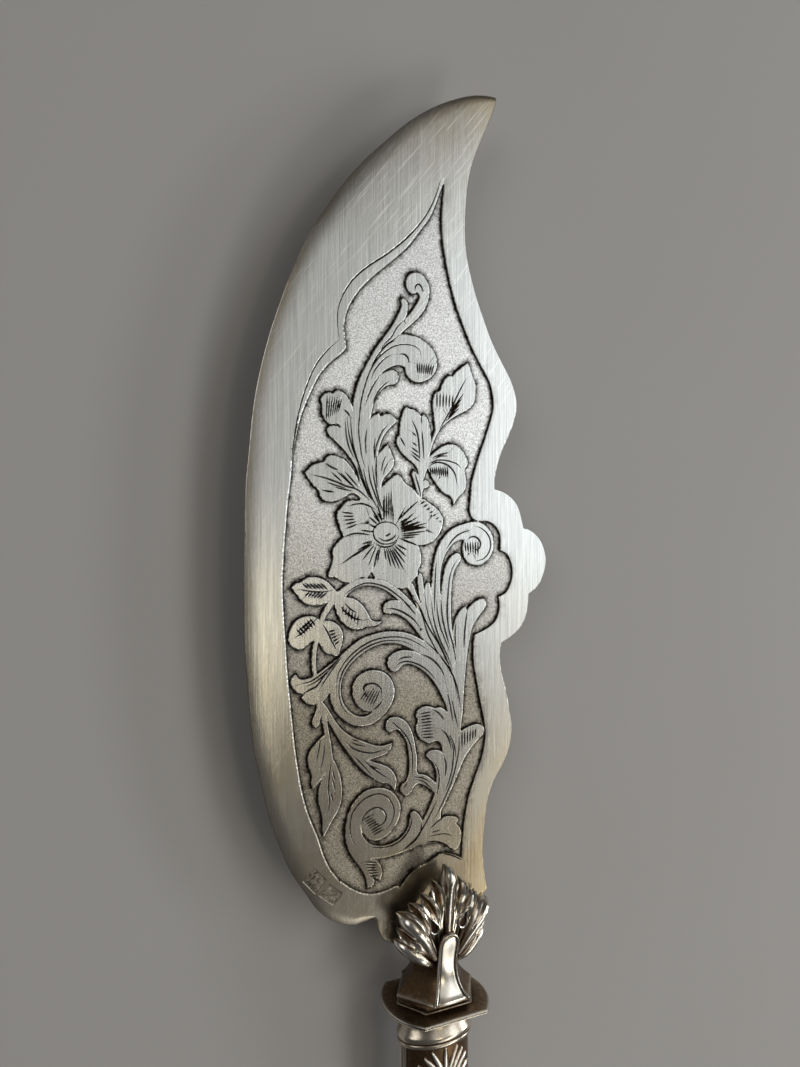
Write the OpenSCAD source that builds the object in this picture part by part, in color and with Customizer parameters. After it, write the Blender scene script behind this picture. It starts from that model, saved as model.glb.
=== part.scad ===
// Fish serving knife lying on its back, with the engraved face up.
// X runs from the cutting edge to the lobed back, Y from the handle to the tip, Z up from the table.
// The origin is on the table, in the middle of the lower flat of the bolster plate's rim.
// The modules measure Y from the top of that rim, and on_axis() moves them to the origin.

/* [Blade] */
// Reach of the blade from the bolster plate to the tip
blade_reach = 200; // [180:1:220]
// Width of the blade from the cutting edge to the outermost lobe
blade_width = 72; // [64:1:80]
// Thickness of the blade sheet
blade_thickness = 1.2; // [1:0.1:1.5]
// Thickness left at the cutting edge
edge_thickness = 0.5; // [0.3:0.1:0.8]
// Width of the bevel along the cutting edge
bevel_width = 5; // [3:0.5:7]
// Depth of the sunk ground inside the engraved panel
panel_depth = 0.25; // [0.1:0.05:0.4]

/* [Bolster] */
// Distance from the plate to where the blade is let into the leaf cup
root_start = 8; // [7:0.5:9]
// Width of the leaf cup over its side leaves
cup_width = 22.6; // [20:0.2:25]
// Reach of the middle leaf from the plate
cup_reach = 30.6; // [28:0.2:33]
// Depth of the leaf cup in front of the blade's middle plane
cup_depth = 7.4; // [6.4:0.1:8.4]
// Width of the pyramid at its foot
pyramid_width = 18.6; // [17:0.2:20]
// Depth of the pyramid at its foot
pyramid_depth = 15.2; // [14:0.2:17]
// Width of the pyramid's front facet at its foot
pyramid_front = 8.4; // [7:0.2:10]
// Width of the neck of the bolster
waist_width = 10; // [9.4:0.2:11]
// Depth of the neck of the bolster
waist_depth = 9.2; // [8.6:0.2:10]
// Width of the plate
plate_width = 23.4; // [22:0.2:26]
// Depth of the plate, which sets how high the knife lies
plate_depth = 19.6; // [18.4:0.2:21]
// Length of the plate's straight front and back edges
plate_front = 15; // [13:0.2:17]
// Thickness of the plate's rim
plate_rim = 0.8; // [0.6:0.1:1.2]
// Rise of the plate's sloped top from the rim to the pyramid
plate_rise = 1.4; // [1:0.1:2]
// Drop of the plate's hollow underside from the rim to the ferrule
plate_drop = 1.4; // [1:0.1:2]

/* [Handle] */
// Length of the ferrule between the plate and the handle
ferrule_length = 6.6; // [5:0.2:8]
// Width of the ferrule over its large ring
ferrule_width = 17.8; // [16:0.2:19]
// Thickness of the ferrule over its large ring
ferrule_thickness = 11.4; // [10.4:0.2:12.4]
// Length of the handle shells
shell_length = 102; // [85:1:115]
// Wall of the stamped handle shells
shell_wall = 1; // [0.6:0.1:1.2]
// Width of the handle at its neck
neck_width = 16.4; // [15:0.2:18]
// Thickness of the handle at its neck
neck_thickness = 10.6; // [9.6:0.2:11.6]
// Width of the handle at its butt
butt_width = 23; // [20:0.2:26]
// Length of the butt cap
cap_length = 10; // [8:0.5:12]
// Width of the tang
tang_width = 6; // [5:0.2:6.4]
// Thickness of the tang
tang_thickness = 4; // [3:0.2:4.4]
// Filling left between the end of the tang and the butt cap
tang_stop = 12; // [6:1:30]
// Clearance of the tang in the bolster and the ferrule
tang_clearance = 0.1; // [0.05:0.05:0.2]

/* [Hidden] */

silver = "silver";
polished_silver = "lightgray";
dark_steel = "dimgray";
pitch = "saddlebrown";

// The knife lies level because its plate and its butt are equally deep
axis_height = plate_depth / 2;
underside = -plate_rim - plate_drop;
handle_start = underside - ferrule_length;
shell_end = handle_start - shell_length;
tang_end = shell_end + tang_stop;
// Overrun of every cutting solid
overrun = 1;
// Steps between two knots of a smooth outline
outline_steps = 4;
// Facets round an oval section, and rings along the handle
oval_sides = 48;
handle_rings = 14;

// Knots of the blade's outline as shares of its width and its reach, in runs that end in a corner
cutting_edge_shares = [
    [0.125, 0.994], [-0.016, 0.968], [-0.170, 0.920], [-0.306, 0.864], [-0.403, 0.810],
    [-0.466, 0.760], [-0.519, 0.704], [-0.559, 0.645], [-0.579, 0.586], [-0.591, 0.502],
    [-0.592, 0.430], [-0.584, 0.358], [-0.562, 0.285], [-0.525, 0.225], [-0.460, 0.163],
    [-0.377, 0.118], [-0.331, 0.105], [-0.272, 0.096], [-0.203, 0.098]
];
heel_tab_shares = [[-0.192, 0.085], [-0.174, 0.073], [-0.145, 0.069]];
back_foot_shares = [
    [0.171, 0.128], [0.167, 0.144], [0.171, 0.170], [0.185, 0.203], [0.207, 0.224],
    [0.238, 0.239], [0.260, 0.255], [0.274, 0.275], [0.272, 0.297], [0.253, 0.325],
    [0.236, 0.346], [0.231, 0.366], [0.236, 0.380]
];
lower_lobe_shares = [[0.276, 0.386], [0.307, 0.395], [0.329, 0.409], [0.341, 0.434]];
middle_lobe_shares = [
    [0.372, 0.442], [0.396, 0.455], [0.408, 0.471], [0.398, 0.489], [0.367, 0.504], [0.322, 0.511]
];
upper_lobe_shares = [[0.316, 0.523], [0.301, 0.536], [0.268, 0.548], [0.211, 0.555]];
back_shares = [
    [0.212, 0.568], [0.238, 0.598], [0.268, 0.618], [0.289, 0.637], [0.293, 0.655],
    [0.272, 0.680], [0.237, 0.700], [0.200, 0.722], [0.171, 0.746], [0.145, 0.768],
    [0.124, 0.793], [0.109, 0.815], [0.104, 0.840], [0.106, 0.866], [0.114, 0.892],
    [0.127, 0.915], [0.153, 0.939], [0.182, 0.963], [0.207, 0.985], [0.220, 1.000]
];

// Knots of the sunk panel's outline, as shares of the same two sizes
panel_back_shares = [
    [0.091, 0.168], [0.104, 0.191], [0.116, 0.210], [0.138, 0.231], [0.162, 0.250],
    [0.178, 0.281], [0.171, 0.297], [0.156, 0.320], [0.145, 0.340], [0.134, 0.360],
    [0.134, 0.382], [0.138, 0.391]
];
panel_lower_lobe_shares = [[0.167, 0.395], [0.196, 0.400], [0.220, 0.407], [0.231, 0.420], [0.227, 0.432]];
panel_middle_lobe_shares = [
    [0.253, 0.437], [0.271, 0.446], [0.279, 0.458], [0.275, 0.470], [0.258, 0.481], [0.232, 0.485]
];
panel_upper_lobe_shares = [
    [0.233, 0.495], [0.231, 0.505], [0.211, 0.514], [0.185, 0.518], [0.149, 0.518], [0.131, 0.522],
    [0.120, 0.529]
];
panel_front_shares = [
    [0.122, 0.537], [0.127, 0.560], [0.145, 0.582], [0.171, 0.606], [0.196, 0.631],
    [0.207, 0.648], [0.204, 0.662], [0.191, 0.677], [0.163, 0.692], [0.127, 0.713],
    [0.098, 0.734], [0.072, 0.756], [0.052, 0.777], [0.037, 0.802], [0.025, 0.827],
    [0.021, 0.854], [0.026, 0.876], [0.032, 0.894]
];
panel_point_shares = [
    [0.007, 0.872], [-0.017, 0.852], [-0.058, 0.831], [-0.105, 0.809], [-0.160, 0.791],
    [-0.217, 0.773], [-0.262, 0.754], [-0.290, 0.737], [-0.300, 0.721], [-0.297, 0.707], [-0.294, 0.697]
];
panel_edge_shares = [
    [-0.312, 0.690], [-0.343, 0.680], [-0.377, 0.666], [-0.406, 0.645], [-0.432, 0.621],
    [-0.453, 0.588], [-0.471, 0.533], [-0.482, 0.478], [-0.485, 0.450], [-0.477, 0.395],
    [-0.463, 0.332], [-0.445, 0.276], [-0.427, 0.241], [-0.409, 0.219], [-0.383, 0.195],
    [-0.358, 0.170], [-0.340, 0.157], [-0.316, 0.146], [-0.275, 0.135], [-0.244, 0.129],
    [-0.203, 0.125], [-0.160, 0.126], [-0.122, 0.125]
];
panel_arc_shares = [
    [-0.101, 0.134], [-0.072, 0.142], [-0.024, 0.148], [0.014, 0.153], [0.046, 0.151], [0.091, 0.142]
];

// Half-width, half-depth and front half-width of the bolster neck: how far each ring
// has come from the pyramid's foot towards the waist, and where it lies on the way up
flare_shares = [[0, 0], [0, 0.15], [0.42, 0.32], [0.72, 0.55], [0.90, 0.78], [1, 1]];

// Half-width and depth of the leaf cup's bowl as shares of the cup's, by its place between root and reach
bowl_shares = [
    [0, 0.44, 0.56], [0.13, 0.53, 0.53], [0.27, 0.70, 0.51], [0.40, 0.81, 0.51],
    [0.53, 0.79, 0.48], [0.66, 0.62, 0.41], [0.80, 0.38, 0.35], [0.90, 0.15, 0.28]
];

// Leaf lobes: root, bend and tip as shares of half the cup's width, its reach and its depth,
// then the lobe's thickness at each as shares of the cup's depth
lobe_shares = [
    [[0, 0.51, 0.64], [0, 0.74, 0.84], [0, 0.955, 0.86], [0.20, 0.22, 0.11]],
    [[0.10, 0.52, 0.60], [0.23, 0.74, 0.72], [0.30, 0.89, 0.76], [0.15, 0.16, 0.09]],
    [[0.20, 0.48, 0.58], [0.40, 0.67, 0.68], [0.53, 0.79, 0.70], [0.15, 0.16, 0.09]],
    [[0.28, 0.43, 0.55], [0.52, 0.60, 0.64], [0.67, 0.715, 0.65], [0.15, 0.16, 0.09]],
    [[0.33, 0.36, 0.52], [0.72, 0.57, 0.58], [0.90, 0.665, 0.50], [0.18, 0.23, 0.15]],
    [[0.36, 0.29, 0.46], [0.66, 0.375, 0.44], [0.92, 0.455, 0.34], [0.17, 0.16, 0.09]]
];

// Front tongue of the bolster: half-width as a share of the pyramid's front facet, then its place
// and the height of its face as shares of the cup's reach and depth
tongue_shares = [
    [0.49, 0.072, 1.01], [0.37, 0.12, 0.86], [0.29, 0.19, 0.73], [0.265, 0.28, 0.70],
    [0.275, 0.38, 0.76], [0.285, 0.47, 0.86], [0.22, 0.515, 0.90]
];
tongue_thickness_share = 0.16;

// Half-width and half-thickness of the ferrule as shares of its large ring, by place from handle to plate
ferrule_shares = [
    [0, 0.93, 0.93], [0.04, 0.97, 0.97], [0.12, 0.995, 0.995], [0.20, 0.97, 0.97], [0.25, 0.94, 0.93],
    [0.29, 0.94, 0.93], [0.35, 0.985, 0.98], [0.47, 1, 1], [0.60, 0.985, 0.98], [0.68, 0.94, 0.93],
    [0.74, 0.87, 0.86], [0.86, 0.83, 0.82], [1, 0.86, 0.88]
];

// Half-width and half-thickness of the butt cap as shares of the butt's, by place from its end to the shells
cap_shares = [
    [0, 0.20], [0.03, 0.38], [0.10, 0.56], [0.22, 0.73], [0.40, 0.87],
    [0.58, 0.95], [0.68, 0.96], [0.73, 0.985], [0.82, 1], [0.91, 0.985], [0.96, 0.96], [1, 0.955]
];
shell_end_share = 0.955;

function last(list) = list[len(list) - 1];

// Smooth curve through the knots without its last one, by centripetal tangents
function curve(knots, steps) = [
    for (i = [0 : len(knots) - 2])
        let (
            b = knots[i],
            c = knots[i + 1],
            a = i > 0 ? knots[i - 1] : 2 * b - c,
            d = i < len(knots) - 2 ? knots[i + 2] : 2 * c - b,
            ab = sqrt(norm(b - a)),
            bc = sqrt(norm(c - b)),
            cd = sqrt(norm(d - c)),
            leaving = bc * ((b - a) / ab - (c - a) / (ab + bc) + (c - b) / bc),
            arriving = bc * ((c - b) / bc - (d - b) / (bc + cd) + (d - c) / cd)
        )
        for (k = [0 : steps - 1])
            let (t = k / steps)
            (2 * t ^ 3 - 3 * t ^ 2 + 1) * b + (t ^ 3 - 2 * t ^ 2 + t) * leaving
            + (3 * t ^ 2 - 2 * t ^ 3) * c + (t ^ 3 - t ^ 2) * arriving
];

function in_sizes(shares, width, reach) = [for (s = shares) [s[0] * width, s[1] * reach]];

// Outline of smooth runs, each starting in the corner where the one before it ends
function joined(runs, steps) = [
    for (i = [0 : len(runs) - 1])
        let (corner = last(runs[(i + len(runs) - 1) % len(runs)]))
        each curve(concat([corner], runs[i]), steps)
];

// The blade's root follows the leaf cup's bowl, a little inside it
root_inset_share = 0.94;
root_left = [
    for (i = [2 : -1 : 0])
        [-bowl_half_width(i) * root_inset_share, bowl_place(i)]
];
root_right = [
    for (i = [0 : 3])
        [bowl_half_width(i) * root_inset_share, bowl_place(i)]
];
function bowl_half_width(i) = bowl_shares[i][1] * cup_width / 2;
function bowl_place(i) = root_start + bowl_shares[i][0] * (cup_reach - root_start);

edge_run = in_sizes(cutting_edge_shares, blade_width, blade_reach);
tab_run = in_sizes(heel_tab_shares, blade_width, blade_reach);
foot_run = in_sizes(back_foot_shares, blade_width, blade_reach);
blade_runs = [
    edge_run, tab_run, root_left, [root_right[0]], concat([for (i = [1 : 3]) root_right[i]], [foot_run[0]]),
    [for (i = [1 : len(foot_run) - 1]) foot_run[i]],
    in_sizes(lower_lobe_shares, blade_width, blade_reach),
    in_sizes(middle_lobe_shares, blade_width, blade_reach),
    in_sizes(upper_lobe_shares, blade_width, blade_reach),
    in_sizes(back_shares, blade_width, blade_reach)
];
blade_outline = joined(blade_runs, outline_steps);
edge_points = len(edge_run) * outline_steps;

panel_runs = [
    for (run = [
        panel_back_shares, panel_lower_lobe_shares, panel_middle_lobe_shares, panel_upper_lobe_shares,
        panel_front_shares, panel_point_shares, panel_edge_shares, panel_arc_shares
    ]) in_sizes(run, blade_width, blade_reach)
];
panel_outline = joined(panel_runs, outline_steps);

// The bevel's slices stand in the middle of the stretches of the cutting edge, so that no corner
// of the cut meets a corner of the outline, and half a stretch past either end.
function stretch_start(i) = blade_outline[min(max(i, 0), edge_points - 1)];
function stretch(i) = blade_outline[min(max(i, 0), edge_points - 1) + 1] - stretch_start(i);
function slice_share(i) = i < 0 ? -1 / 2 : i < edge_points ? 1 / 2 : 3 / 2;
function slice_place(i) = stretch_start(i) + slice_share(i) * stretch(i);

// How much of the bevel's width a slice has: least at the tip and the heel
least_bevel_share = 0.15;
function bevel_share(i) =
    let (way = max(0, min(1, (i + 1 / 2) / edge_points)))
    least_bevel_share + (1 - least_bevel_share) * sqrt(sin(180 * way));
function inward(i) = [-stretch(i)[1], stretch(i)[0]] / norm(stretch(i));

// Solid through a row of rings with equally many points, closed by its first and last ring.
// A folded ring runs out along one side of a wall and back along the other.
module loft(rings, folded = false) {
    n = len(rings[0]);
    m = len(rings);
    sides = [
        for (i = [0 : m - 2], j = [0 : n - 1])
            let (a = i * n + j, b = i * n + (j + 1) % n)
            each [[a, b, a + n], [b, b + n, a + n]]
    ];
    whole_end = [[for (j = [0 : n - 1]) j]];
    folded_end = [for (j = [0 : n / 2 - 2]) each [[j, j + 1, n - 1 - j], [j + 1, n - 2 - j, n - 1 - j]]];
    end = folded ? folded_end : whole_end;
    first_end = [for (face = end) [for (k = [len(face) - 1 : -1 : 0]) face[k]]];
    last_end = [for (face = end) [for (j = face) (m - 1) * n + j]];
    polyhedron([for (ring = rings) each ring], concat(sides, first_end, last_end), convexity = 6);
}

// Moves a piece from the knife's long axis to its place above the table
module on_axis() {
    translate([0, plate_rim / 2, axis_height])
        children();
}

// Oval ring across the knife at y, seen from the tip
function oval(y, half_width, half_thickness, sides) = [
    for (k = [0 : sides - 1])
        let (turn = 360 * k / sides)
        [half_width * cos(turn), y, half_thickness * sin(turn)]
];

// Triangle that the bevel takes off one face, square to the cutting edge
function bevel_slice(i) =
    let (
        past_share = 0.3,
        drop = (blade_thickness - edge_thickness) / 2,
        inner = inward(i) * bevel_share(i) * bevel_width,
        low = slice_place(i) - past_share * inner,
        high = slice_place(i) + (1 + past_share) * inner,
        low_z = edge_thickness / 2 - past_share * drop,
        high_z = blade_thickness / 2 + past_share * drop
    )
    [[low[0], low[1], high_z], [high[0], high[1], high_z], [low[0], low[1], low_z]];

// Chain of wedges that takes the bevel off one face along the cutting edge
module bevel_wedge() {
    for (i = [-1 : edge_points - 1])
        hull()
            polyhedron(concat(bevel_slice(i), bevel_slice(i + 1)), [[0, 1, 2], [3, 5, 4]]);
}

module blade() {
    color(silver)
        on_axis()
        difference() {
            translate([0, 0, -blade_thickness / 2])
                linear_extrude(blade_thickness)
                polygon(blade_outline);
            bevel_wedge();
            mirror([0, 0, 1])
                bevel_wedge();
            translate([0, 0, blade_thickness / 2 - panel_depth])
                linear_extrude(panel_depth + overrun)
                polygon(panel_outline);
        }
}

module tang_bar() {
    translate([-tang_width / 2, tang_end, -tang_thickness / 2])
        cube([tang_width, root_start - tang_end, tang_thickness]);
}

module tang() {
    color(dark_steel)
        on_axis()
        tang_bar();
}

// Space that the tang needs between two places along the knife
module tang_passage(from_y, to_y) {
    width = tang_width + 2 * tang_clearance;
    thickness = tang_thickness + 2 * tang_clearance;
    translate([-width / 2, from_y - overrun, -thickness / 2])
        cube([width, to_y - from_y + 2 * overrun, thickness]);
}

// Half of the hexagonal neck in front of the middle plane, with the half groove for the tang
function neck_ring(flare, place) =
    let (
        half_width = (pyramid_width + flare * (waist_width - pyramid_width)) / 2,
        half_depth = (pyramid_depth + flare * (waist_depth - pyramid_depth)) / 2,
        front = half_width * pyramid_front / pyramid_width,
        groove_half = tang_width / 2 + tang_clearance,
        groove_depth = tang_thickness / 2 + tang_clearance,
        y = plate_rise + place * (root_start - plate_rise)
    )
    [
        [half_width, y, 0], [front, y, half_depth], [-front, y, half_depth], [-half_width, y, 0],
        [-groove_half, y, 0], [-groove_half, y, groove_depth],
        [groove_half, y, groove_depth], [groove_half, y, 0]
    ];

// Bowl of the leaf cup in front of the blade
module bowl() {
    half_sides = 12;
    face = blade_thickness / 2;
    loft([
        for (b = bowl_shares)
            [
                for (k = [0 : half_sides])
                    let (turn = 180 * k / half_sides)
                    [
                        b[1] * cup_width / 2 * cos(turn),
                        root_start + b[0] * (cup_reach - root_start),
                        face + b[2] * (cup_depth - face) * sin(turn)
                    ]
            ]
    ]);
}

module leaf_lobe(lobe, side) {
    $fn = 12;
    place = [side * cup_width / 2, cup_reach, cup_depth];
    for (k = [0 : 1])
        hull()
            for (e = [k, k + 1])
                translate([lobe[e][0] * place[0], lobe[e][1] * place[1], lobe[e][2] * place[2]])
                sphere(lobe[3][e] * cup_depth);
}

module tongue_slice(slice) {
    half_width = slice[0] * pyramid_front;
    thickness = tongue_thickness_share * cup_depth;
    translate([-half_width, slice[1] * cup_reach, slice[2] * cup_depth - thickness])
        cube([2 * half_width, thickness / 4, thickness]);
}

module tongue() {
    for (k = [0 : len(tongue_shares) - 2])
        hull() {
            tongue_slice(tongue_shares[k]);
            tongue_slice(tongue_shares[k + 1]);
        }
}

module bolster_half() {
    union() {
        loft([for (f = flare_shares) neck_ring(f[0], f[1])]);
        bowl();
        leaf_lobe(lobe_shares[0], 0);
        for (i = [1 : len(lobe_shares) - 1], side = [-1, 1])
            leaf_lobe(lobe_shares[i], side);
        tongue();
    }
}

module bolster_front_half() {
    color(polished_silver)
        on_axis()
        bolster_half();
}

module bolster_rear_half() {
    color(polished_silver)
        on_axis()
        mirror([0, 0, 1])
        bolster_half();
}

// Outline of the plate: straight front and back edges joined by two wide arcs
module plate_outline(width, depth, front) {
    bow = (width - front) / 2;
    arc_radius = (depth * depth / 4 + bow * bow) / (2 * bow);
    intersection() {
        translate([width / 2 - arc_radius, 0])
            circle(arc_radius, $fn = 96);
        translate([arc_radius - width / 2, 0])
            circle(arc_radius, $fn = 96);
        square([width, depth], center = true);
    }
}

// Slice of the plate across the knife at y
module plate_slice(y, thickness, shrink) {
    translate([0, y + thickness, 0])
        rotate([90, 0, 0])
        linear_extrude(thickness)
        plate_outline(plate_width * shrink, plate_depth * shrink, plate_front * shrink);
}

module bolster_plate() {
    step_share = 0.86;
    foot_share = 0.72;
    skin = plate_rim / 4;
    color(polished_silver)
        on_axis()
        difference() {
            union() {
                plate_slice(-plate_rim, plate_rim, 1);
                hull() {
                    plate_slice(-skin, skin, 1);
                    plate_slice(plate_rise - 2 * skin, skin, step_share);
                }
                plate_slice(plate_rise - 2 * skin, 2 * skin, step_share);
                hull() {
                    plate_slice(-plate_rim, skin, 1);
                    plate_slice(underside, skin, foot_share);
                }
            }
            tang_passage(underside, plate_rise);
        }
}

module neck_ferrule() {
    color(polished_silver)
        on_axis()
        difference() {
            loft([
                for (f = ferrule_shares)
                    oval(
                        handle_start + f[0] * ferrule_length,
                        f[1] * ferrule_width / 2, f[2] * ferrule_thickness / 2, oval_sides
                    )
            ]);
            tang_passage(handle_start, underside);
        }
}

// Half-width and half-thickness of the handle at a share of its way from neck to butt
function swell(share) = share * share * (3 - 2 * share);
function handle_half_width(share) =
    (neck_width + swell(share) * (butt_width * shell_end_share - neck_width)) / 2;
function handle_half_thickness(share) =
    (neck_thickness + swell(share) * (plate_depth * shell_end_share - neck_thickness)) / 2;

// Upper half of an oval section, from the back to the cutting edge side
function half_oval(y, half_width, half_thickness) = [
    for (k = [0 : oval_sides / 2])
        let (turn = 180 * k / (oval_sides / 2))
        [half_width * cos(turn), y, half_thickness * sin(turn)]
];

function shell_ring(share) =
    let (
        y = handle_start - share * shell_length,
        half_width = handle_half_width(share),
        half_thickness = handle_half_thickness(share),
        inner = half_oval(y, half_width - shell_wall, half_thickness - shell_wall)
    )
    concat(half_oval(y, half_width, half_thickness), [for (k = [len(inner) - 1 : -1 : 0]) inner[k]]);

module handle_shell() {
    loft([for (k = [handle_rings : -1 : 0]) shell_ring(k / handle_rings)], folded = true);
}

module handle_front_shell() {
    color(silver)
        on_axis()
        handle_shell();
}

module handle_rear_shell() {
    color(silver)
        on_axis()
        mirror([0, 0, 1])
        handle_shell();
}

module handle_filling() {
    color(pitch)
        on_axis()
        difference() {
            loft([
                for (k = [handle_rings : -1 : 0])
                    let (share = k / handle_rings)
                    oval(
                        handle_start - share * shell_length, handle_half_width(share) - shell_wall,
                        handle_half_thickness(share) - shell_wall, oval_sides
                    )
            ]);
            tang_bar();
        }
}

module handle_end_cap() {
    color(silver)
        on_axis()
        loft([
            for (c = cap_shares)
                oval(
                    shell_end - (1 - c[0]) * cap_length,
                    c[1] * butt_width / 2, c[1] * plate_depth / 2, oval_sides
                )
        ]);
}

blade();
tang();
bolster_front_half();
bolster_rear_half();
bolster_plate();
neck_ferrule();
handle_front_shell();
handle_rear_shell();
handle_filling();
handle_end_cap();
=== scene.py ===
"""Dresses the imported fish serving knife: engraved blade, acanthus bolster and stamped handle."""
import math
import random

import bpy
import numpy as np
from mathutils import Matrix, Vector
from mathutils.geometry import delaunay_2d_cdt
from mathutils.kdtree import KDTree


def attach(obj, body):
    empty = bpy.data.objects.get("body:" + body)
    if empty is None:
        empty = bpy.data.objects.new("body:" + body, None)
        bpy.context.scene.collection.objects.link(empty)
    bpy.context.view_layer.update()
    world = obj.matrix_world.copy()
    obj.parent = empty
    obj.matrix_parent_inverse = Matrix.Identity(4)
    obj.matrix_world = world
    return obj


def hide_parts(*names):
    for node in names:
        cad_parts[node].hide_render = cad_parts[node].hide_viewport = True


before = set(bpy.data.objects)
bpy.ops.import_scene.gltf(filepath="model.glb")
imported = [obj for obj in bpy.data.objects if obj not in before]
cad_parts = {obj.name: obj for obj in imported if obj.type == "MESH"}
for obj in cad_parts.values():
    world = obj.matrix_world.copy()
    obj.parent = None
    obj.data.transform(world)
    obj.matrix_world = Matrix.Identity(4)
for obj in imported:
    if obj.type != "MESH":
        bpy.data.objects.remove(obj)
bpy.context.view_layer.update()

MM = 0.001

# ---------------------------------------------------------------- sizes of the knife, in mm

AXIS_HEIGHT = 9.8           # the knife's long axis above the table
RIM_SHIFT = 0.4             # from the top of the plate's rim to the origin
BLADE_THICKNESS = 1.2
BLADE_REACH = (-42.66, 29.36)  # across, from the cutting edge to the lobes of the back
EDGE_THICKNESS = 0.5
BEVEL_WIDTH = 5.0
LEAST_BEVEL_SHARE = 0.15    # of that width, left at both ends of the cutting edge
EDGE_ROUNDING = 0.12        # width of the rounding along the outline
EDGE_DROP = 0.07            # and its depth
PANEL_DEPTH = 0.25          # how far the matted ground lies under the surface
WALL_RUN = 0.17             # width of the sloped wall round an ornament
RIM_RUN = 0.16              # width of the soft rim on top of that wall
RIM_DROP = 0.02             # and its depth
FOOT_DROP = 0.05            # groove at the foot of the wall
BEAD_SPACING = 0.9          # of the beads along the bright rim of the panel
BEAD_RUN = 0.26             # width of that rim
BEAD_DROP = 0.08            # its depth, and how much that swings from bead to bead
BEAD_SWING = 0.048
LEAST_BEAD_DROP = 0.03      # a rim any deeper is the beaded one
CUT_DEPTH_SHARE = 0.6       # depth of an engraved line, of its half-width
BROAD_HALF_WIDTH = 0.25
FINE_HALF_WIDTH = 0.21
HATCH_HALF_WIDTH = FINE_HALF_WIDTH * 1.15
GROOVE_HALF_WIDTH = 0.26
PUNCH_DEPTH = 0.1           # of the blank squares at the heel
PUNCH_WALL = 0.15           # width of their walls
PUNCH_EDGE = 0.08           # what lies further in than this is sunk

# ---------------------------------------------------------------- the photograph's camera

IMAGE_WIDTH = 800
IMAGE_HEIGHT = 1067
FOCAL_PX = 820.0
VIEW_TURN = math.radians(26.2)      # turned from straight above towards the cutting edge
VIEW_DISTANCE = 179.7               # from the long axis along the view
VIEW_OFFSET = 7.58                  # the long axis to the right of the picture's middle
VIEW_ALONG = 100.84                 # from the plate to the picture's middle
COS_TURN = math.cos(VIEW_TURN)
SIN_TURN = math.sin(VIEW_TURN)


def on_face(px, py):
    """Place on the blade's face, in mm, that a pixel of the photograph shows."""
    height = BLADE_THICKNESS / 2
    k = (px - IMAGE_WIDTH / 2) / FOCAL_PX
    x = (k * (VIEW_DISTANCE - height * COS_TURN) - VIEW_OFFSET - height * SIN_TURN) / (COS_TURN - k * SIN_TURN)
    depth = VIEW_DISTANCE + x * SIN_TURN - height * COS_TURN
    y = (IMAGE_HEIGHT / 2 - py) * depth / FOCAL_PX + VIEW_ALONG + RIM_SHIFT
    return x, y


def on_blade(pixels):
    """The same for a list of pixels."""
    return [on_face(*q) for q in pixels]


# ---------------------------------------------------------------- curves

def smooth(knots, spacing):
    """Points along a smooth curve through the knots, by centripetal tangents, both ends included."""
    p = np.array(knots, float)
    if len(p) == 2:
        n = max(1, math.ceil(np.linalg.norm(p[1] - p[0]) / spacing))
        return [tuple(p[0] + (p[1] - p[0]) * k / n) for k in range(n + 1)]
    p = np.vstack([2 * p[0] - p[1], p, 2 * p[-1] - p[-2]])
    out = []
    for a, b, c, d in zip(p, p[1:], p[2:], p[3:]):
        ab, bc, cd = (max(math.sqrt(np.linalg.norm(v)), 1e-6) for v in (b - a, c - b, d - c))
        leaving = bc * ((b - a) / ab - (c - a) / (ab + bc) + (c - b) / bc)
        arriving = bc * ((c - b) / bc - (d - b) / (bc + cd) + (d - c) / cd)
        n = max(1, math.ceil(np.linalg.norm(c - b) / spacing))
        for k in range(n):
            t = k / n
            out.append(tuple((2 * t ** 3 - 3 * t ** 2 + 1) * b + (t ** 3 - 2 * t ** 2 + t) * leaving
                             + (3 * t ** 2 - 2 * t ** 3) * c + (t ** 3 - t ** 2) * arriving))
    out.append(tuple(p[-2]))
    return out


def closed(runs, spacing):
    """Closed outline of smooth runs, each starting in the corner where the one before ends."""
    points = []
    for before, run in zip([runs[-1]] + runs, runs):
        points += smooth([before[-1]] + run, spacing)[:-1]
    return np.array(points)


def resampled(table, n):
    """n rows along the smooth curve through the rows of a table, evenly by its knots."""
    p = np.array(table, float)
    p = np.vstack([2 * p[0] - p[1], p, 2 * p[-1] - p[-2]])
    rows = []
    for k in range(n):
        t = k / (n - 1) * (len(p) - 3)
        i = min(int(t), len(p) - 4)
        t -= i
        a, b, c, d = p[i:i + 4]
        rows.append(0.5 * (2 * b + (c - a) * t + (2 * a - 5 * b + 4 * c - d) * t * t
                           + (3 * b - a - 3 * c + d) * t ** 3))
    return np.array(rows)


def inside(points, loop):
    """Which points lie inside a closed loop, by counting the crossings of a ray."""
    found = np.zeros(len(points), bool)
    near = np.flatnonzero(np.all((points >= loop.min(axis=0)) & (points <= loop.max(axis=0)), axis=1))
    x, y = points[near].T
    odd = np.zeros(len(near), bool)
    for (ax, ay), (bx, by) in zip(loop, np.roll(loop, -1, axis=0)):
        if ay != by:
            odd ^= ((ay > y) != (by > y)) & (x < (bx - ax) * (y - ay) / (by - ay) + ax)
    found[near] = odd
    return found


def offset(loop, distance):
    """The loop moved outwards by a distance, each point along its own normal."""
    ahead, behind = np.roll(loop, -1, axis=0), np.roll(loop, 1, axis=0)
    along = ahead - behind
    along /= np.maximum(np.linalg.norm(along, axis=1), 1e-9)[:, None]
    outward = np.stack([along[:, 1], -along[:, 0]], axis=1)
    area = np.sum(loop[:, 0] * ahead[:, 1] - ahead[:, 0] * loop[:, 1])
    return loop + outward * distance * np.sign(area)


def left_of(line):
    """Unit steps to the left of a line at each of its points."""
    along = np.gradient(line, axis=0)
    along /= np.linalg.norm(along, axis=1)[:, None]
    return np.stack([-along[:, 1], along[:, 0]], axis=1)


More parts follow.
